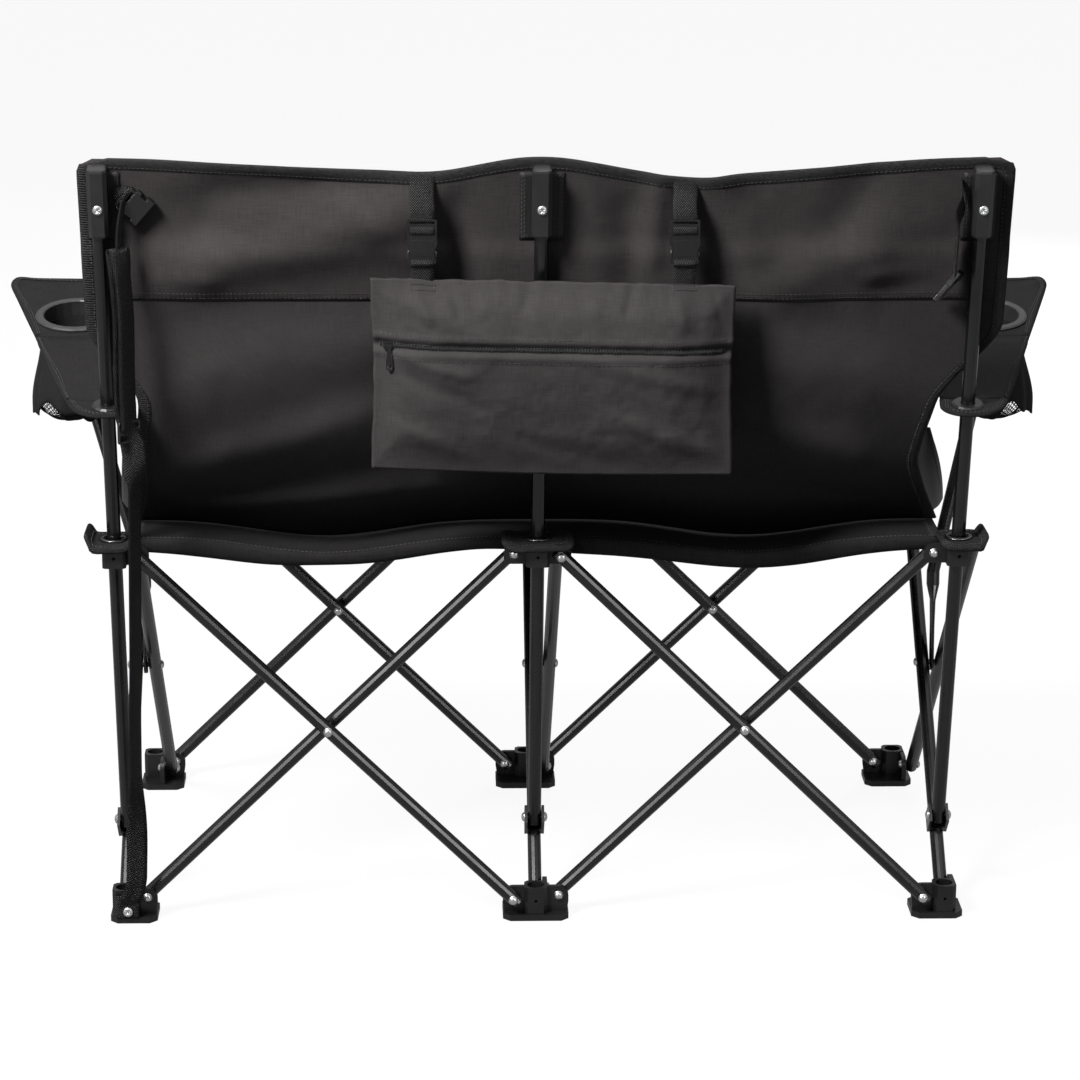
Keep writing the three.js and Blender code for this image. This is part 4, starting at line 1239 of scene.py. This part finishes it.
# In turn: the radius and the height of a head.
TUBE_HEAD, EAR_HEAD, FAR_EAR_HEAD = (0.0052, 0.0034), (0.0050, 0.0036), (0.0052, 0.0038)
BRACKET_HEAD, CAP_SCREW, STRAP_SCREW = (0.0056, 0.0036), (0.0052, 0.0026), (0.0056, 0.0030)
MID_Z = (PIN_Z + HUB_Z) / 2
CAP_Z = 0.8035
made = 0
for row, y in (("rear", 0.0), ("front", BAY)):
    for bay, x in (("left", -BAY), ("right", 0.0)):
        right_x, left_x = x + BAY - PIN_OUT, x + PIN_OUT
        near_ends = [(right_x, PIN_Z), (left_x, HUB_Z)]
        far_ends = [(left_x, PIN_Z), (right_x, HUB_Z)]
        for plane, way, ends, head in (("near", -1, near_ends, EAR_HEAD),
                                       ("far", 1, far_ends, FAR_EAR_HEAD)):
            out = FRONT_WAY * way
            face = y + way * (PLANE + TUBE - SUNK)
            group = [dome(at(px, face, pz), out, *TUBE_HEAD)
                     for px, pz in ends + [(x + BAY / 2, MID_Z)]]
            group += [dome(at(px, y - way * EAR, pz), -out, *head) for px, pz in ends]
            made += heads(f"rivets_{row}_{bay}_{plane}", f"bay_tube_{row}_{bay}_{plane}", group)

rise = math.atan2(HUB_Z - PIN_Z, BAY - 2 * PIN_OUT)
along = Vector((0, math.cos(rise), math.sin(rise)))
for side, x in COLUMNS.items():
    for kind, plane, way, y0, y1 in (("rising", x, -1, PIN_OUT, BAY - PIN_OUT),
                                     ("falling", x + 2 * PLANE, 1, BAY - PIN_OUT, PIN_OUT)):
        out = RIGHT * way
        face = plane + way * (TUBE - SUNK)
        spots = [(y0, PIN_Z), (y1, HUB_Z), (BAY / 2, MID_Z)]
        group = [dome(at(face, py, pz), out, *TUBE_HEAD) for py, pz in spots]
        group += [dome(at(plane - way * (PLANE + EAR), py, pz), -out, *EAR_HEAD)
                  for py, pz in spots[:2]]
        if kind == "rising":
            pin = at(x, PIN_OUT, PIN_Z) + along * 0.074 + Vector((0, -along.z, along.y)) * 0.023
            group += [dome(pin + RIGHT * (w * 0.0109), RIGHT * w, *BRACKET_HEAD) for w in (-1, 1)]
        made += heads(f"rivets_side_{side}_{kind}", f"side_tube_{side}_{kind}", group)
for side, x in COLUMNS.items():
    spot = Vector((x, upright_y(CAP_Z), CAP_Z)) + REARWARD * 0.0113
    heads(f"cap_screw_{side}", f"upright_{side}", [dome(spot, REARWARD, *CAP_SCREW, True)])
print(made, "rivet heads and 3 cap screws")

# %% [markdown]
# The carry bag hangs flat and empty behind the centre upright. It is a thin case with a zip
# across it, a little full in the middle, pinched along its seams and creased where the straps go
# in. It could be blown up by a cloth simulation, but then its creases would fall where they like;
# they are pressed in by the same kind of function as on the back.

# %% Shape of the bag
BAG = "carry_bag"
bag_low, bag_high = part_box("bag_body")
BAG_Y = (bag_low.y + bag_high.y) / 2
BAG_X, BAG_HALF, BAG_TOP, BAG_TALL = 0.012, 0.187, 0.727, 0.200
ZIP_DROP = 0.068
CREASES = [
    (0.10, 1.02, 0.16, 0.80, 0.030, 0.0022), (0.21, 1.03, 0.24, 0.84, 0.022, -0.0020),
    (0.33, 1.03, 0.31, 0.86, 0.025, 0.0018), (0.45, 1.03, 0.42, 0.88, 0.030, -0.0018),
    (0.58, 1.03, 0.62, 0.86, 0.030, 0.0020), (0.72, 1.03, 0.70, 0.86, 0.022, -0.0022),
    (0.82, 1.03, 0.86, 0.82, 0.030, 0.0024), (0.93, 1.00, 0.97, 0.80, 0.020, -0.0018),
    (0.04, 0.95, 0.30, 0.72, 0.050, 0.0018), (0.08, 0.60, 0.26, 0.52, 0.035, 0.0022),
    (0.10, 0.50, 0.30, 0.36, 0.040, -0.0016), (0.62, 0.60, 0.93, 0.46, 0.045, 0.0018),
    (0.70, 0.30, 0.95, 0.10, 0.050, 0.0022), (0.05, 0.25, 0.30, 0.05, 0.050, 0.0020),
    (0.40, 0.20, 0.66, 0.06, 0.045, -0.0018),
]


def bag_share(x):
    return (x - BAG_X) / BAG_HALF / 2 + 0.5


def bag_top(u):
    return BAG_TOP + 0.004 - 0.008 * u


def zip_z(u):
    return bag_top(u) - ZIP_DROP


def bag_point(u, v, face):
    """face is -1 on the rear side and +1 on the side that lies against the upright."""
    edge = min(smooth(u * 11), smooth((1 - u) * 11), smooth(v * 4.5), smooth((1 - v) * 5.5))
    half = 0.0018 + 0.0062 * edge
    pucker = 0.0012 * math.sin(u * 95 + 2 * math.sin(u * 17)) * smooth((v - 0.86) / 0.14)
    x = BAG_X + (2 * u - 1) * BAG_HALF * (1 - 0.016 * math.sin(math.pi * v) ** 2)
    x += 0.0012 * noise.noise((v * 9, face, u)) * (1 - edge)
    z = bag_top(u) - (BAG_TALL + 0.003 * math.sin(math.pi * u)) * (1 - v)
    z += 0.0012 * noise.noise((u * 13, 5.0, v)) * smooth((v - 0.7) * 4) + pucker * 0.3
    if face > 0:
        return Vector((x, BAG_Y + half * 0.9, z))
    near, far = (1 - v) / 0.35, v / 0.65
    full = 0.021 * near * far / math.sqrt(near * near + far * far + 1e-6)
    full *= smooth(u * 5) * smooth((1 - u) * 5)
    creased = 1.25 * pressed(CREASES, u, v, 1.9, 0.3, 0.4) + pucker
    creased += 0.0010 * noise.noise((u * 16, v * 9, 1.0))
    creased += 0.0006 * noise.noise((u * 44, v * 25, 3.0))
    off = z - zip_z(u)
    channel = 0.0035 * bell(off, 0.0042)
    lips = 0.0016 * bell(off - 0.0085, 0.0035) + 0.0012 * bell(off + 0.0085, 0.0035)
    lift = half + creased * (0.25 + 0.75 * edge) + full - channel + lips
    return Vector((x, BAG_Y - lift, z))


def bag_face(x, z, off=0.0):
    """The place on the bag's rear face at a given x and height."""
    u = bag_share(x)
    return bag_point(u, 1 - (bag_top(u) - z) / BAG_TALL, -1) + BACK_WAY * off


print("bag's middle at", [round(c, 3) for c in bag_face(BAG_X, BAG_TOP - BAG_TALL / 2)])

# %% [markdown]
# The case is one closed grid, as a bag's skin is: each row runs over the rear face and back over
# the front one, and the bottom and top rows are closed by strips of faces. Two sheets would leave
# a gap along their seam.

# %% Bag body
across = steps(110)
rows = [[bag_point(u, v, -1) for u in across] + [bag_point(u, v, 1) for u in reversed(across)]
        for v in steps(84)]
points = joined(rows)
wide = len(rows[0])
faces = grid_faces(len(rows), wide, True)
for base, flip in ((0, False), (len(points) - wide, True)):
    for i in range(len(across) - 1):
        quad = (base + i, base + wide - 1 - i, base + wide - 2 - i, base + i + 1)
        faces.append(tuple(reversed(quad)) if flip else quad)
flat = [(p.x + (0.0 if i % wide < len(across) else 0.5), p.z) for i, p in enumerate(points)]
bag = make_piece("bag_case", points, faces, BAG_CLOTH, BAG, flat)
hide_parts("bag_body")
print("bag", len(points), "points")

# %% [markdown]
# The zip lies in a shallow channel: a ribbed tape, a double row of coil teeth down its middle,
# and a row of stitches above and below it. An Array modifier could repeat a tooth; placing each
# one on the bag's own face keeps them in the channel where the bag bulges.

# %% Zip and its stitches
TEETH = 228
TOOTH = [(-0.0006, 0.0026, 0), (0.0006, 0.0026, 0), (0.0006, -0.0010, 0), (-0.0006, -0.0010, 0),
         (-0.0003, 0.0022, -0.0012), (0.0003, 0.0022, -0.0012),
         (0.0003, -0.0006, -0.0015), (-0.0003, -0.0006, -0.0015)]
TOOTH_FACES = [(4, 5, 6, 7), (0, 1, 5, 4), (1, 2, 6, 5), (2, 3, 7, 6), (3, 0, 4, 7)]


def zip_spot(x, proud):
    """The height of the zip's middle at x, and how far back it lies."""
    mid = zip_z(bag_share(x))
    return mid, bag_face(x, mid).y - proud


zip_rows = []
for i in range(101):
    x = BAG_X - 0.178 + 0.356 * i / 100
    mid, depth = zip_spot(x, 0.0006)
    zip_rows.append([Vector((x, depth - 0.0004 * (1 - abs(k) / 6.5), mid + k * 0.001))
                     for k in (6.5, 4, 2, 0, -2, -4, -6.5)])
swept("bag_zip_tape", zip_rows, TAPE, BAG, closed=False)
points, faces = [], []
for i in range(TEETH):
    x = BAG_X - 0.174 + 0.00153 * i
    mid, depth = zip_spot(x, 0.0012)
    way = 1 if i % 2 else -1
    faces += [tuple(len(points) + k for k in face) for face in TOOTH_FACES]
    points += [Vector((x + dx, depth + dy, mid + dz * way)) for dx, dz, dy in TOOTH]
coil = make_piece("bag_zip_coil", points, faces, COIL, BAG, [(p.x, p.z) for p in points], False)
for number, drop in enumerate((-0.0125, 0.0118)):
    line = [bag_face(BAG_X - 0.180 + 0.36 * t, zip_z(t) + drop, 0.0002) for t in steps(90)]
    seam = sew(f"bag_zip_stitches_{number + 1}", line, BACK_WAY, BAG,
               step=0.0050, wide=0.0009, high=0.0005)
print("zip with", TEETH, "teeth")

# %% [markdown]
# Small hard pieces are stacked from plates, the way a mould-maker draws them: an outline in
# millimetres with its holes, a thickness and broken edges. A Bevel modifier breaks the edges,
# because a sharp edge catches no light. A place function puts the drawing where the piece sits.

# %% Helpers for moulded plates
def mm(*corners):
    return [(x / 1000, y / 1000) for x, y in corners]


def slab(x0, z0, x1, z1):
    return mm((x0, z0), (x1, z0), (x1, z1), (x0, z1))


def rounded(x0, z0, x1, z1, radius):
    return round_off(slab(x0, z0, x1, z1), [radius] * 4)


def handed(outline, way):
    """An outline drawn for the right, or its mirror image for the left."""
    return outline if way > 0 else [(-x, z) for x, z in reversed(outline)]


def hard(name, outline, holes, thick, place, body, edge):
    points, faces = cut(outline, holes, 1.0)
    item = make_piece(name, [place(*p) for p in points], faces, BUCKLE, body, points, False)
    thicken(item, thick)
    soft_edge = item.modifiers.new("edges", "BEVEL")
    soft_edge.width = edge
    soft_edge.segments = 2
    soft_edge.limit_method = "ANGLE"
    return item


def framed(centre, right, up):
    """A place function for a drawing with the given right and up; depth counts rearward."""
    right, up = right.normalized(), up.normalized()
    out = right.cross(up)

    def at_depth(depth=0.0):
        return lambda x, z: centre + right * x + up * z + out * (-depth if out.y > 0 else depth)
    return at_depth


print("plate helpers ready")

# %% [markdown]
# Webbing is a narrow sheet of five points across, thick enough to show its edge. Where it wraps
# round a bar, it is an oval swept along the bar. A bevelled curve would give a strap too, but not
# one that is bowed across and twists where it is told.

# %% Helpers for webbing
FIVE = (-1, -0.5, 0, 0.5, 1)
WEB_HALF = 0.0122


def webbing(name, rows, body, thickness=0.0018):
    item = sheet_of(name, rows, WEBBING, body, thickness)
    return item


def roll(name, centre, along, up, out, half, high, deep, body):
    """Webbing wrapped round a bar."""
    rows = []
    for i in range(9):
        spot = centre + along * (half * (i / 4 - 1))
        rows.append([spot + up * (high * math.cos(t)) + out * (deep * math.sin(t))
                     for t in [2 * math.pi * k / 18 for k in range(18)]])
    swept(name, rows, WEBBING, body)


def level_way(turn):
    return Vector((math.cos(turn), math.sin(turn), 0))


print("webbing", round(2000 * WEB_HALF, 1), "mm wide")

# %% [markdown]
# The zip's slider: a body on the coil, a small bridge and a drop-shaped puller with a round hole.
# The three are plates of their own, because the puller hangs free on the bridge. They slide along
# the zip on their own joint.

# %% Zip slider
SLIDE_X = -0.158
SLIDER = "bag_zip_slider"
slide_z = zip_z(bag_share(SLIDE_X))
slide_at = framed(bag_face(SLIDE_X, slide_z), RIGHT, UP)
shape = round_off(mm((-6, -4.6), (5, -3.8), (5, 3.8), (-6, 4.6)), [0.002] * 4)
slider = hard("zip_slider_body", shape, [], 0.0034, slide_at(0.0036), SLIDER, 0.0008)
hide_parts("bag_zip_slider")
hard("zip_slider_bridge", rounded(-3.5, -1.5, 3.5, 1.5, 0.001), [], 0.0024, slide_at(0.0062),
     SLIDER, 0.0008)
shape = mm((-1.7, 1.0), (-2.2, -7), (-3.4, -16))
shape += [(0.0038 * math.cos(t), -0.0225 + 0.0038 * math.sin(t))
          for t in [math.pi + math.pi * k / 12 for k in range(13)]]
shape += mm((3.4, -16), (2.2, -7), (1.7, 1.0))
hard("zip_slider_puller", shape, [circle(0, -0.0222, 0.0020, 14)], 0.0015, slide_at(0.0072),
     SLIDER, 0.0004)
print("zip slider at", round(SLIDE_X, 3), round(slide_z, 3))

# %% [markdown]
# Buckles of the bag. Each is a side-release buckle: a ladder frame with two slots, a body with
# windows at its sides, a raised pad, and the two sprung arms that show in the windows. One solid
# with Boolean cuts could be all of it; plates laid into each other give the same slots and
# windows with clean faces, as its two moulded halves do.

# %% Bag buckles
BUCKLE_Z = 0.7685
BUCKLES = {"left": -0.122, "right": 0.146}
BODY = mm((-15.4, 4.4), (-15.4, -4), (-12.4, -8), (-12.4, -16), (-14.0, -18), (-14.0, -22.6),
          (14.0, -22.6), (14.0, -18), (12.4, -16), (12.4, -8), (15.4, -4), (15.4, 4.4))
BODY_ROUND = [0.0016, 0.0015, 0.0012, 0.001, 0.001, 0.0015] * 2
PAD = mm((-10.5, 2.2), (-10.5, -14.5), (10.5, -14.5), (10.5, 2.2))
SPRUNG = mm((12.0, -8.2), (14.2, -9.0), (15.3, -12.0), (14.9, -15.0), (13.4, -16.6), (12.0, -16.4))
HANDS = {"a": -1, "b": 1}


def bag_buckle(side, cx):
    spot_at = framed(Vector((cx, BAG_Y, BUCKLE_Z)), RIGHT, UP)
    slots = [slab(-12.6, 7, 12.6, 15.5), slab(-12.6, 18.4, 12.6, 21)]
    hard(f"bag_buckle_frame_{side}", rounded(-15.2, 4, 15.2, 23, 0.002), slots, 0.0040,
         spot_at(0.0008), BAG, 0.0007)
    shell = hard(f"bag_buckle_{side}_body", round_off(BODY, BODY_ROUND, 3),
                 [slab(-11.6, -20.6, 11.6, -17.8)], 0.0078, spot_at(), BAG, 0.0011)
    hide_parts(f"bag_buckle_{side}")
    hard(f"bag_buckle_pad_{side}", round_off(PAD, [0.002] * 4, 3), [], 0.0010, spot_at(0.0042),
         BAG, 0.0004)
    for hand, way in HANDS.items():
        hard(f"bag_buckle_arm_{side}_{hand}", handed(SPRUNG, way), [], 0.0050, spot_at(), BAG,
             0.0008)


print("corners of a buckle's body:", len(BODY))

# %% [markdown]
# Straps of the bag. Each is webbing, sewn under the top binding; it goes through the ladder frame
# and wraps round its bar. Below the buckle a second piece of webbing goes into the bag, held by a
# box of stitches. The straps start on the back's own surface, which is found by its function, and
# end on the bag's.

# %% Bag straps
BOX = [(-13, -2.5), (13, -2.5), (12, -8), (-12, -8), (-13, -2.5)]


def bag_strap(side, cx):
    roll(f"bag_strap_roll_{side}", Vector((cx, BAG_Y - 0.0016, BUCKLE_Z + 0.0112)), RIGHT, UP,
         BACK_WAY, WEB_HALF, 0.0047, 0.0036, BAG)
    top_z = from_table(TOP_EDGE, cx, 0.02) - 0.004
    rows = []
    for t in steps(40):
        z = top_z + (BUCKLE_Z + 0.0185 - top_z) * t
        y0, y1 = back_spot(cx, max(z, 0.80), 0.0026).y, BAG_Y - 0.0003
        y = y0 + (y1 - y0) * smooth(t * 1.25)
        sway, bow = 0.0006 * math.sin(9 * t + cx * 40), 0.0012 * math.sin(math.pi * t)
        rows.append([Vector((cx + a * WEB_HALF + sway, y - bow * (1 - abs(a) * 0.3), z))
                     for a in FIVE])
    strap = webbing(f"bag_strap_{side}_webbing", rows, BAG)
    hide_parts(f"bag_strap_{side}")
    rows = []
    for t in steps(24):
        z = -0.0185 - 0.0300 * t
        half = 0.0114 * (1 - 0.05 * smooth((t - 0.6) * 3))
        y = BAG_Y - 0.0026 - 0.0048 * bell(z + 0.0222, 0.0022) + 0.0022 * smooth((t - 0.4) * 2)
        rows.append([Vector((cx + a * half, y, BUCKLE_Z + z)) for a in FIVE])
    low_strap = webbing(f"bag_strap_{side}_lower", rows, BAG)
    line = []
    for (x0, z0), (x1, z1) in zip(BOX, BOX[1:]):
        line += [bag_face(cx + (x0 + (x1 - x0) * t) / 1000, BAG_TOP + (z0 + (z1 - z0) * t) / 1000,
                          0.0003) for t in steps(8)]
    seam = sew(f"bag_strap_{side}_stitches", line, BACK_WAY, BAG, step=0.0034, long=0.0026)


for side, cx in BUCKLES.items():
    bag_buckle(side, cx)
    bag_strap(side, cx)
print("2 buckles and 2 straps")

# %% [markdown]
# The carry strap hangs beside the left upright. Near the top a short loop of webbing carries the
# socket half of a buckle. From that loop the strap hangs doubled, runs through an adjuster,
# twists, and goes down to the rear left foot, where it is screwed on. A curve with a tilt at each
# point could carry it; a function of how far up it is says the same in fewer values. It rides on
# the foot.

# %% Shape of the carry strap
CARRY_Y = -0.0139
CARRY_LOW, CARRY_TOP = 0.014, 0.765
LOOP, GLIDE = 0.990, 0.735
CARRY_X = [(0.0, -0.4458), (0.02, -0.4430), (0.042, -0.4345), (0.10, -0.4330), (0.20, -0.4319),
           (0.30, -0.4304), (0.40, -0.4274), (0.50, -0.4254), (0.60, -0.4233), (0.70, -0.4212),
           (0.735, -0.4255), (0.80, -0.4263), (0.90, -0.4246), (0.96, -0.427), (1.0, -0.4294)]


def carry_turn(v):
    loop = 0.98 - 0.25 * smooth((v - 0.95) / 0.04)
    twist = 0.10 + 1.05 * smooth((0.690 - v) / 0.035)
    upper = loop + (twist - loop) * smooth((0.745 - v) / 0.035)
    lower = 0.15 + 0.40 * smooth((v - 0.02) / 0.03) + 0.60 * smooth((v - 0.12) / 0.10)
    return lower + (upper - lower) * smooth((v - 0.60) / 0.06)


def carry_centre(v):
    """The middle of the strap, from 0 at the foot to 1 at its top."""
    top_y = -(CARRY_TOP - HUB_Z) * math.tan(LEAN) - 0.017
    off = -0.006 * smooth(v / 0.03) * smooth((0.12 - v) / 0.08)
    y = CARRY_Y + (top_y - CARRY_Y) * v + off
    return at(from_table(CARRY_X, v, 0.012), y, CARRY_LOW + (CARRY_TOP - CARRY_LOW) * v)


def carry_row(v, inward=0.0, rise=0.0):
    turn = carry_turn(v)
    across, out = level_way(turn), Vector((math.sin(turn), -math.cos(turn), 0))
    middle = carry_centre(v) - out * inward + UP * rise
    return [middle + across * (WEB_HALF * a) + out * (0.0004 * (1 - a * a)) for a in FIVE]


def follow_foot(item):
    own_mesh(item)


print("top of the carry strap:", [round(c, 3) for c in carry_centre(1)])

# %% [markdown]
# The rows of the strap go up from the adjuster behind the outer layer, round the loop, and down
# the outer layer to the foot.

# %% Carry strap
FOOT = "foot_rear_left"
rows = [carry_row(0.725 + 0.265 * i / 60, 0.0070 * smooth(i / 8)) for i in range(61)]
for turn in [math.pi * k / 8 for k in range(1, 8)]:
    rows.append(carry_row(LOOP, 0.0035 + 0.0035 * math.cos(turn), 0.0035 * math.sin(turn)))
rows += [carry_row(LOOP - LOOP * i / 220) for i in range(221)]
carry = webbing("carry_strap_webbing", rows, FOOT, 0.0017)
follow_foot(carry)
glide_at = framed(carry_centre(GLIDE), level_way(carry_turn(GLIDE)), UP)
slots = [slab(-12.4, 3.2, 12.4, 8.6), slab(-12.4, -8.6, 12.4, -3.2)]
glide = hard("carry_adjuster", rounded(-15, -12, 15, 12, 0.003), slots, 0.0034, glide_at(-0.001),
             FOOT, 0.0009)
follow_foot(glide)
end_rows = [[at(-0.4458 + 0.0125 * a, -0.0152 - 0.0016 * math.sin(math.pi * t), 0.006 + 0.026 * t)
             for a in FIVE] for t in steps(12)]
end_tab = webbing("carry_strap_end", end_rows, FOOT)
heads("carry_screw", FOOT, [dome(at(-0.4453, -0.0170, 0.0145), BACK_WAY, *STRAP_SCREW, True)])
print("carry strap of", round(sum((b[2] - a[2]).length for a, b in zip(rows, rows[1:])), 3), "m")

# %% [markdown]
# The socket half of the buckle beside the left cap: two shells with a gap between them for the
# plug, side walls with the cut-outs for its arms, and a bar with webbing round it. It is made of
# plates, as the buckles of the bag are, so that the gap is open.

# %% Socket half
LEFT_POST = "upright_left"
SOCKET_TURN = 2.27
SOCKET = mm((-15.5, -7), (-15.5, -2), (-12.4, -2), (-12.4, 5.5), (-15.5, 5.5), (-15.5, 14),
            (15.5, 14), (15.5, 5.5), (12.4, 5.5), (12.4, -2), (15.5, -2), (15.5, -7),
            (13.4, -8.4), (13.4, -14), (-13.4, -14), (-13.4, -8.4))
WALLS = [(-15.5, -7, -11.6, -2), (-15.5, 5.5, -11.6, 14), (11.6, -7, 15.5, -2),
         (11.6, 5.5, 15.5, 14), (-13.4, -14, 13.4, -11.6)]
socket_low, socket_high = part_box("carry_buckle_socket")
socket_mid = (socket_low + socket_high) / 2
lean_turn = Matrix.Rotation(LEAN, 3, "X")
socket_right = lean_turn @ Vector((math.cos(SOCKET_TURN), 0, -math.sin(SOCKET_TURN)))
socket_along = lean_turn @ Vector((math.sin(SOCKET_TURN), 0, math.cos(SOCKET_TURN)))
rear_way = lean_turn @ BACK_WAY
socket_at = framed(socket_mid, socket_right, socket_along)
for number, depth in enumerate((0.0031, -0.0031)):
    shell = hard(f"carry_socket_shell_{number + 1}", list(reversed(SOCKET)),
                 [slab(-10.8, -11.6, 10.8, -8.6)], 0.0024, socket_at(depth), LEFT_POST, 0.0007)
    if number == 0:
        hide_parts("carry_buckle_socket")
for number, wall in enumerate(WALLS):
    hard(f"carry_socket_wall_{number + 1}", slab(*wall), [], 0.0042, socket_at(), LEFT_POST, 0.0003)
roll("carry_socket_roll", socket_mid - socket_along * 0.0148, socket_right, socket_along, rear_way,
     0.0106, 0.0034, 0.0058, LEFT_POST)
print("socket half at", [round(c, 3) for c in socket_mid])

# %% [markdown]
# A short stub of webbing, sewn to the back, holds the socket, and a narrow loop, seen on edge,
# joins it to the carry strap. Both are drawn between their two ends with a little slack, because
# webbing this short is too stiff to hang in folds.

# %% Loop of the socket
stub_top = back_spot(-0.4245, 0.822, 0.0030)
stub_end = socket_mid - socket_along * 0.0170 + rear_way * 0.002
rows = []
for t in steps(16):
    spot = stub_top.lerp(stub_end, t) + rear_way * (0.004 * math.sin(math.pi * t))
    side_way = RIGHT.lerp(socket_right * -1, smooth(t)).normalized()
    rows.append([spot + side_way * (0.0105 * a) for a in FIVE])
stub = webbing("carry_loop_stub", rows, LEFT_POST)
link_top = socket_mid - socket_along * 0.0135 + rear_way * 0.0055
link_end = carry_centre(LOOP) + Vector((0.001, 0.0025, -0.024))
rows = []
for t in steps(30):
    bow = math.sin(math.pi * t)
    spot = link_top.lerp(link_end, t) + Vector((-0.0035 * bow, -0.003 * bow, 0))
    rows.append([spot + level_way(1.28 - 0.25 * t) * (0.0055 * a) for a in (-1, -0.33, 0.33, 1)])
link = webbing("carry_link", rows, LEFT_POST, 0.0020)
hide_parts("carry_strap")
print("stub and link of the socket")

# %% [markdown]
# On the right a short piece of webbing hangs on edge. It turns a little on its way down, so it is
# made row by row with a turn of its own for each row.

# %% Short strap
RIGHT_POST = "upright_right"
HANG = 0.6 * LEAN
short_top = back_spot(0.4265, 0.832, 0.004)
hang_way = Vector((0, math.sin(HANG), -math.cos(HANG)))
rows = []
for s in steps(48):
    turn = 1.50 - 0.42 * bell(s - 0.30, 0.13)
    y = short_top.y - 0.0118 * smooth(s * 5 + 0.15)
    middle = Vector((0.4285 - 0.004 * s, y, short_top.z)) + hang_way * (0.106 * s)
    half = WEB_HALF * (0.35 + 0.65 * smooth(s * 5))
    rows.append([middle + level_way(turn) * (half * a) for a in FIVE])
short = webbing("short_strap_webbing", rows, RIGHT_POST)
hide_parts("short_strap")
print("short strap ends at", [round(c, 3) for c in rows[-1][2]])

# %% [markdown]
# The short strap carries the plug half of a buckle: a ladder base, a guide prong and two sprung
# arms with hooked ends. It is made of plates in the place where the strap ends, turned as it
# hangs there.

# %% Plug half
PLUG_TURN, PLUG_TWIST = 0.66, 1.15
HOOKED = mm((7.6, -9), (6.8, -18), (8.8, -27), (10.8, -33), (12.8, -31), (12.4, -24), (10.8, -22),
            (10.6, -9))
hang_turn = Matrix.Rotation(HANG, 3, "X")
plug_down = hang_turn @ Vector((-math.sin(PLUG_TURN), 0, -math.cos(PLUG_TURN)))
plug_flat = hang_turn @ Vector((math.cos(PLUG_TURN), 0, -math.sin(PLUG_TURN)))
plug_deep = hang_turn @ FRONT_WAY
plug_side = (plug_flat * math.cos(PLUG_TWIST) + plug_deep * math.sin(PLUG_TWIST)).normalized()
plug_mid = rows[-1][2] - plug_down * 0.004
place = framed(plug_mid, plug_side, plug_down * -1)()
slots = [slab(-10.6, 1.2, 10.6, 4.4), slab(-10.6, -5.6, 10.6, -2.4)]
base = hard("short_plug_base", rounded(-13, -10, 13, 7, 0.002), slots, 0.0054, place, RIGHT_POST,
            0.0009)
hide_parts("short_buckle_plug")
hard("short_plug_guide", slab(-2.2, -29, 2.2, -9), [], 0.0042, place, RIGHT_POST, 0.0006)
for hand, way in HANDS.items():
    hard(f"short_plug_arm_{hand}", handed(HOOKED, way), [], 0.0046, place, RIGHT_POST, 0.0007)
roll("short_plug_roll", plug_mid + plug_down * 0.0005, plug_side, plug_down,
     plug_side.cross(plug_down), 0.0104, 0.0040, 0.0044, RIGHT_POST)
print("plug half at", [round(c, 3) for c in plug_mid])

# %% [markdown]
# Where the back meets the seat, a narrow wing of cloth at each side joins the back's bound edge
# to the seat's side. It stands a little further forward than the back, and rides on the same
# upright. No plane fits it, so each row is blended from the back's edge to a line further out.

# %% Side wings
WING_TOP, WING_LOW = 0.552, 0.4320
for side, way in SIDES.items():
    rows = []
    for t in steps(24):
        z = WING_TOP - (WING_TOP - WING_LOW) * t
        inner = back_spot(way * (back_half(z, way) - 0.006), z, -0.0030)
        reach = 0.437 + 0.018 * t if way < 0 else 0.4160 + 0.0500 * t - 0.0100 * t * t
        outer = Vector((way * reach, inner.y + 0.010 + 0.062 * t, z))
        rows.append([inner.lerp(outer, k / 8) + BACK_WAY * (0.003 * math.sin(k * 0.9 + 3 * t))
                     for k in range(9)])
    wing = gather(sheet_of(f"side_wing_{side}", rows, PATCH_CLOTH, MIDDLE, 0.0014))
    line = [row[7] + REARWARD * 0.0012 for row in rows]
    gather(sew(f"side_wing_{side}_stitches", line, REARWARD, MIDDLE))
print("2 side wings")
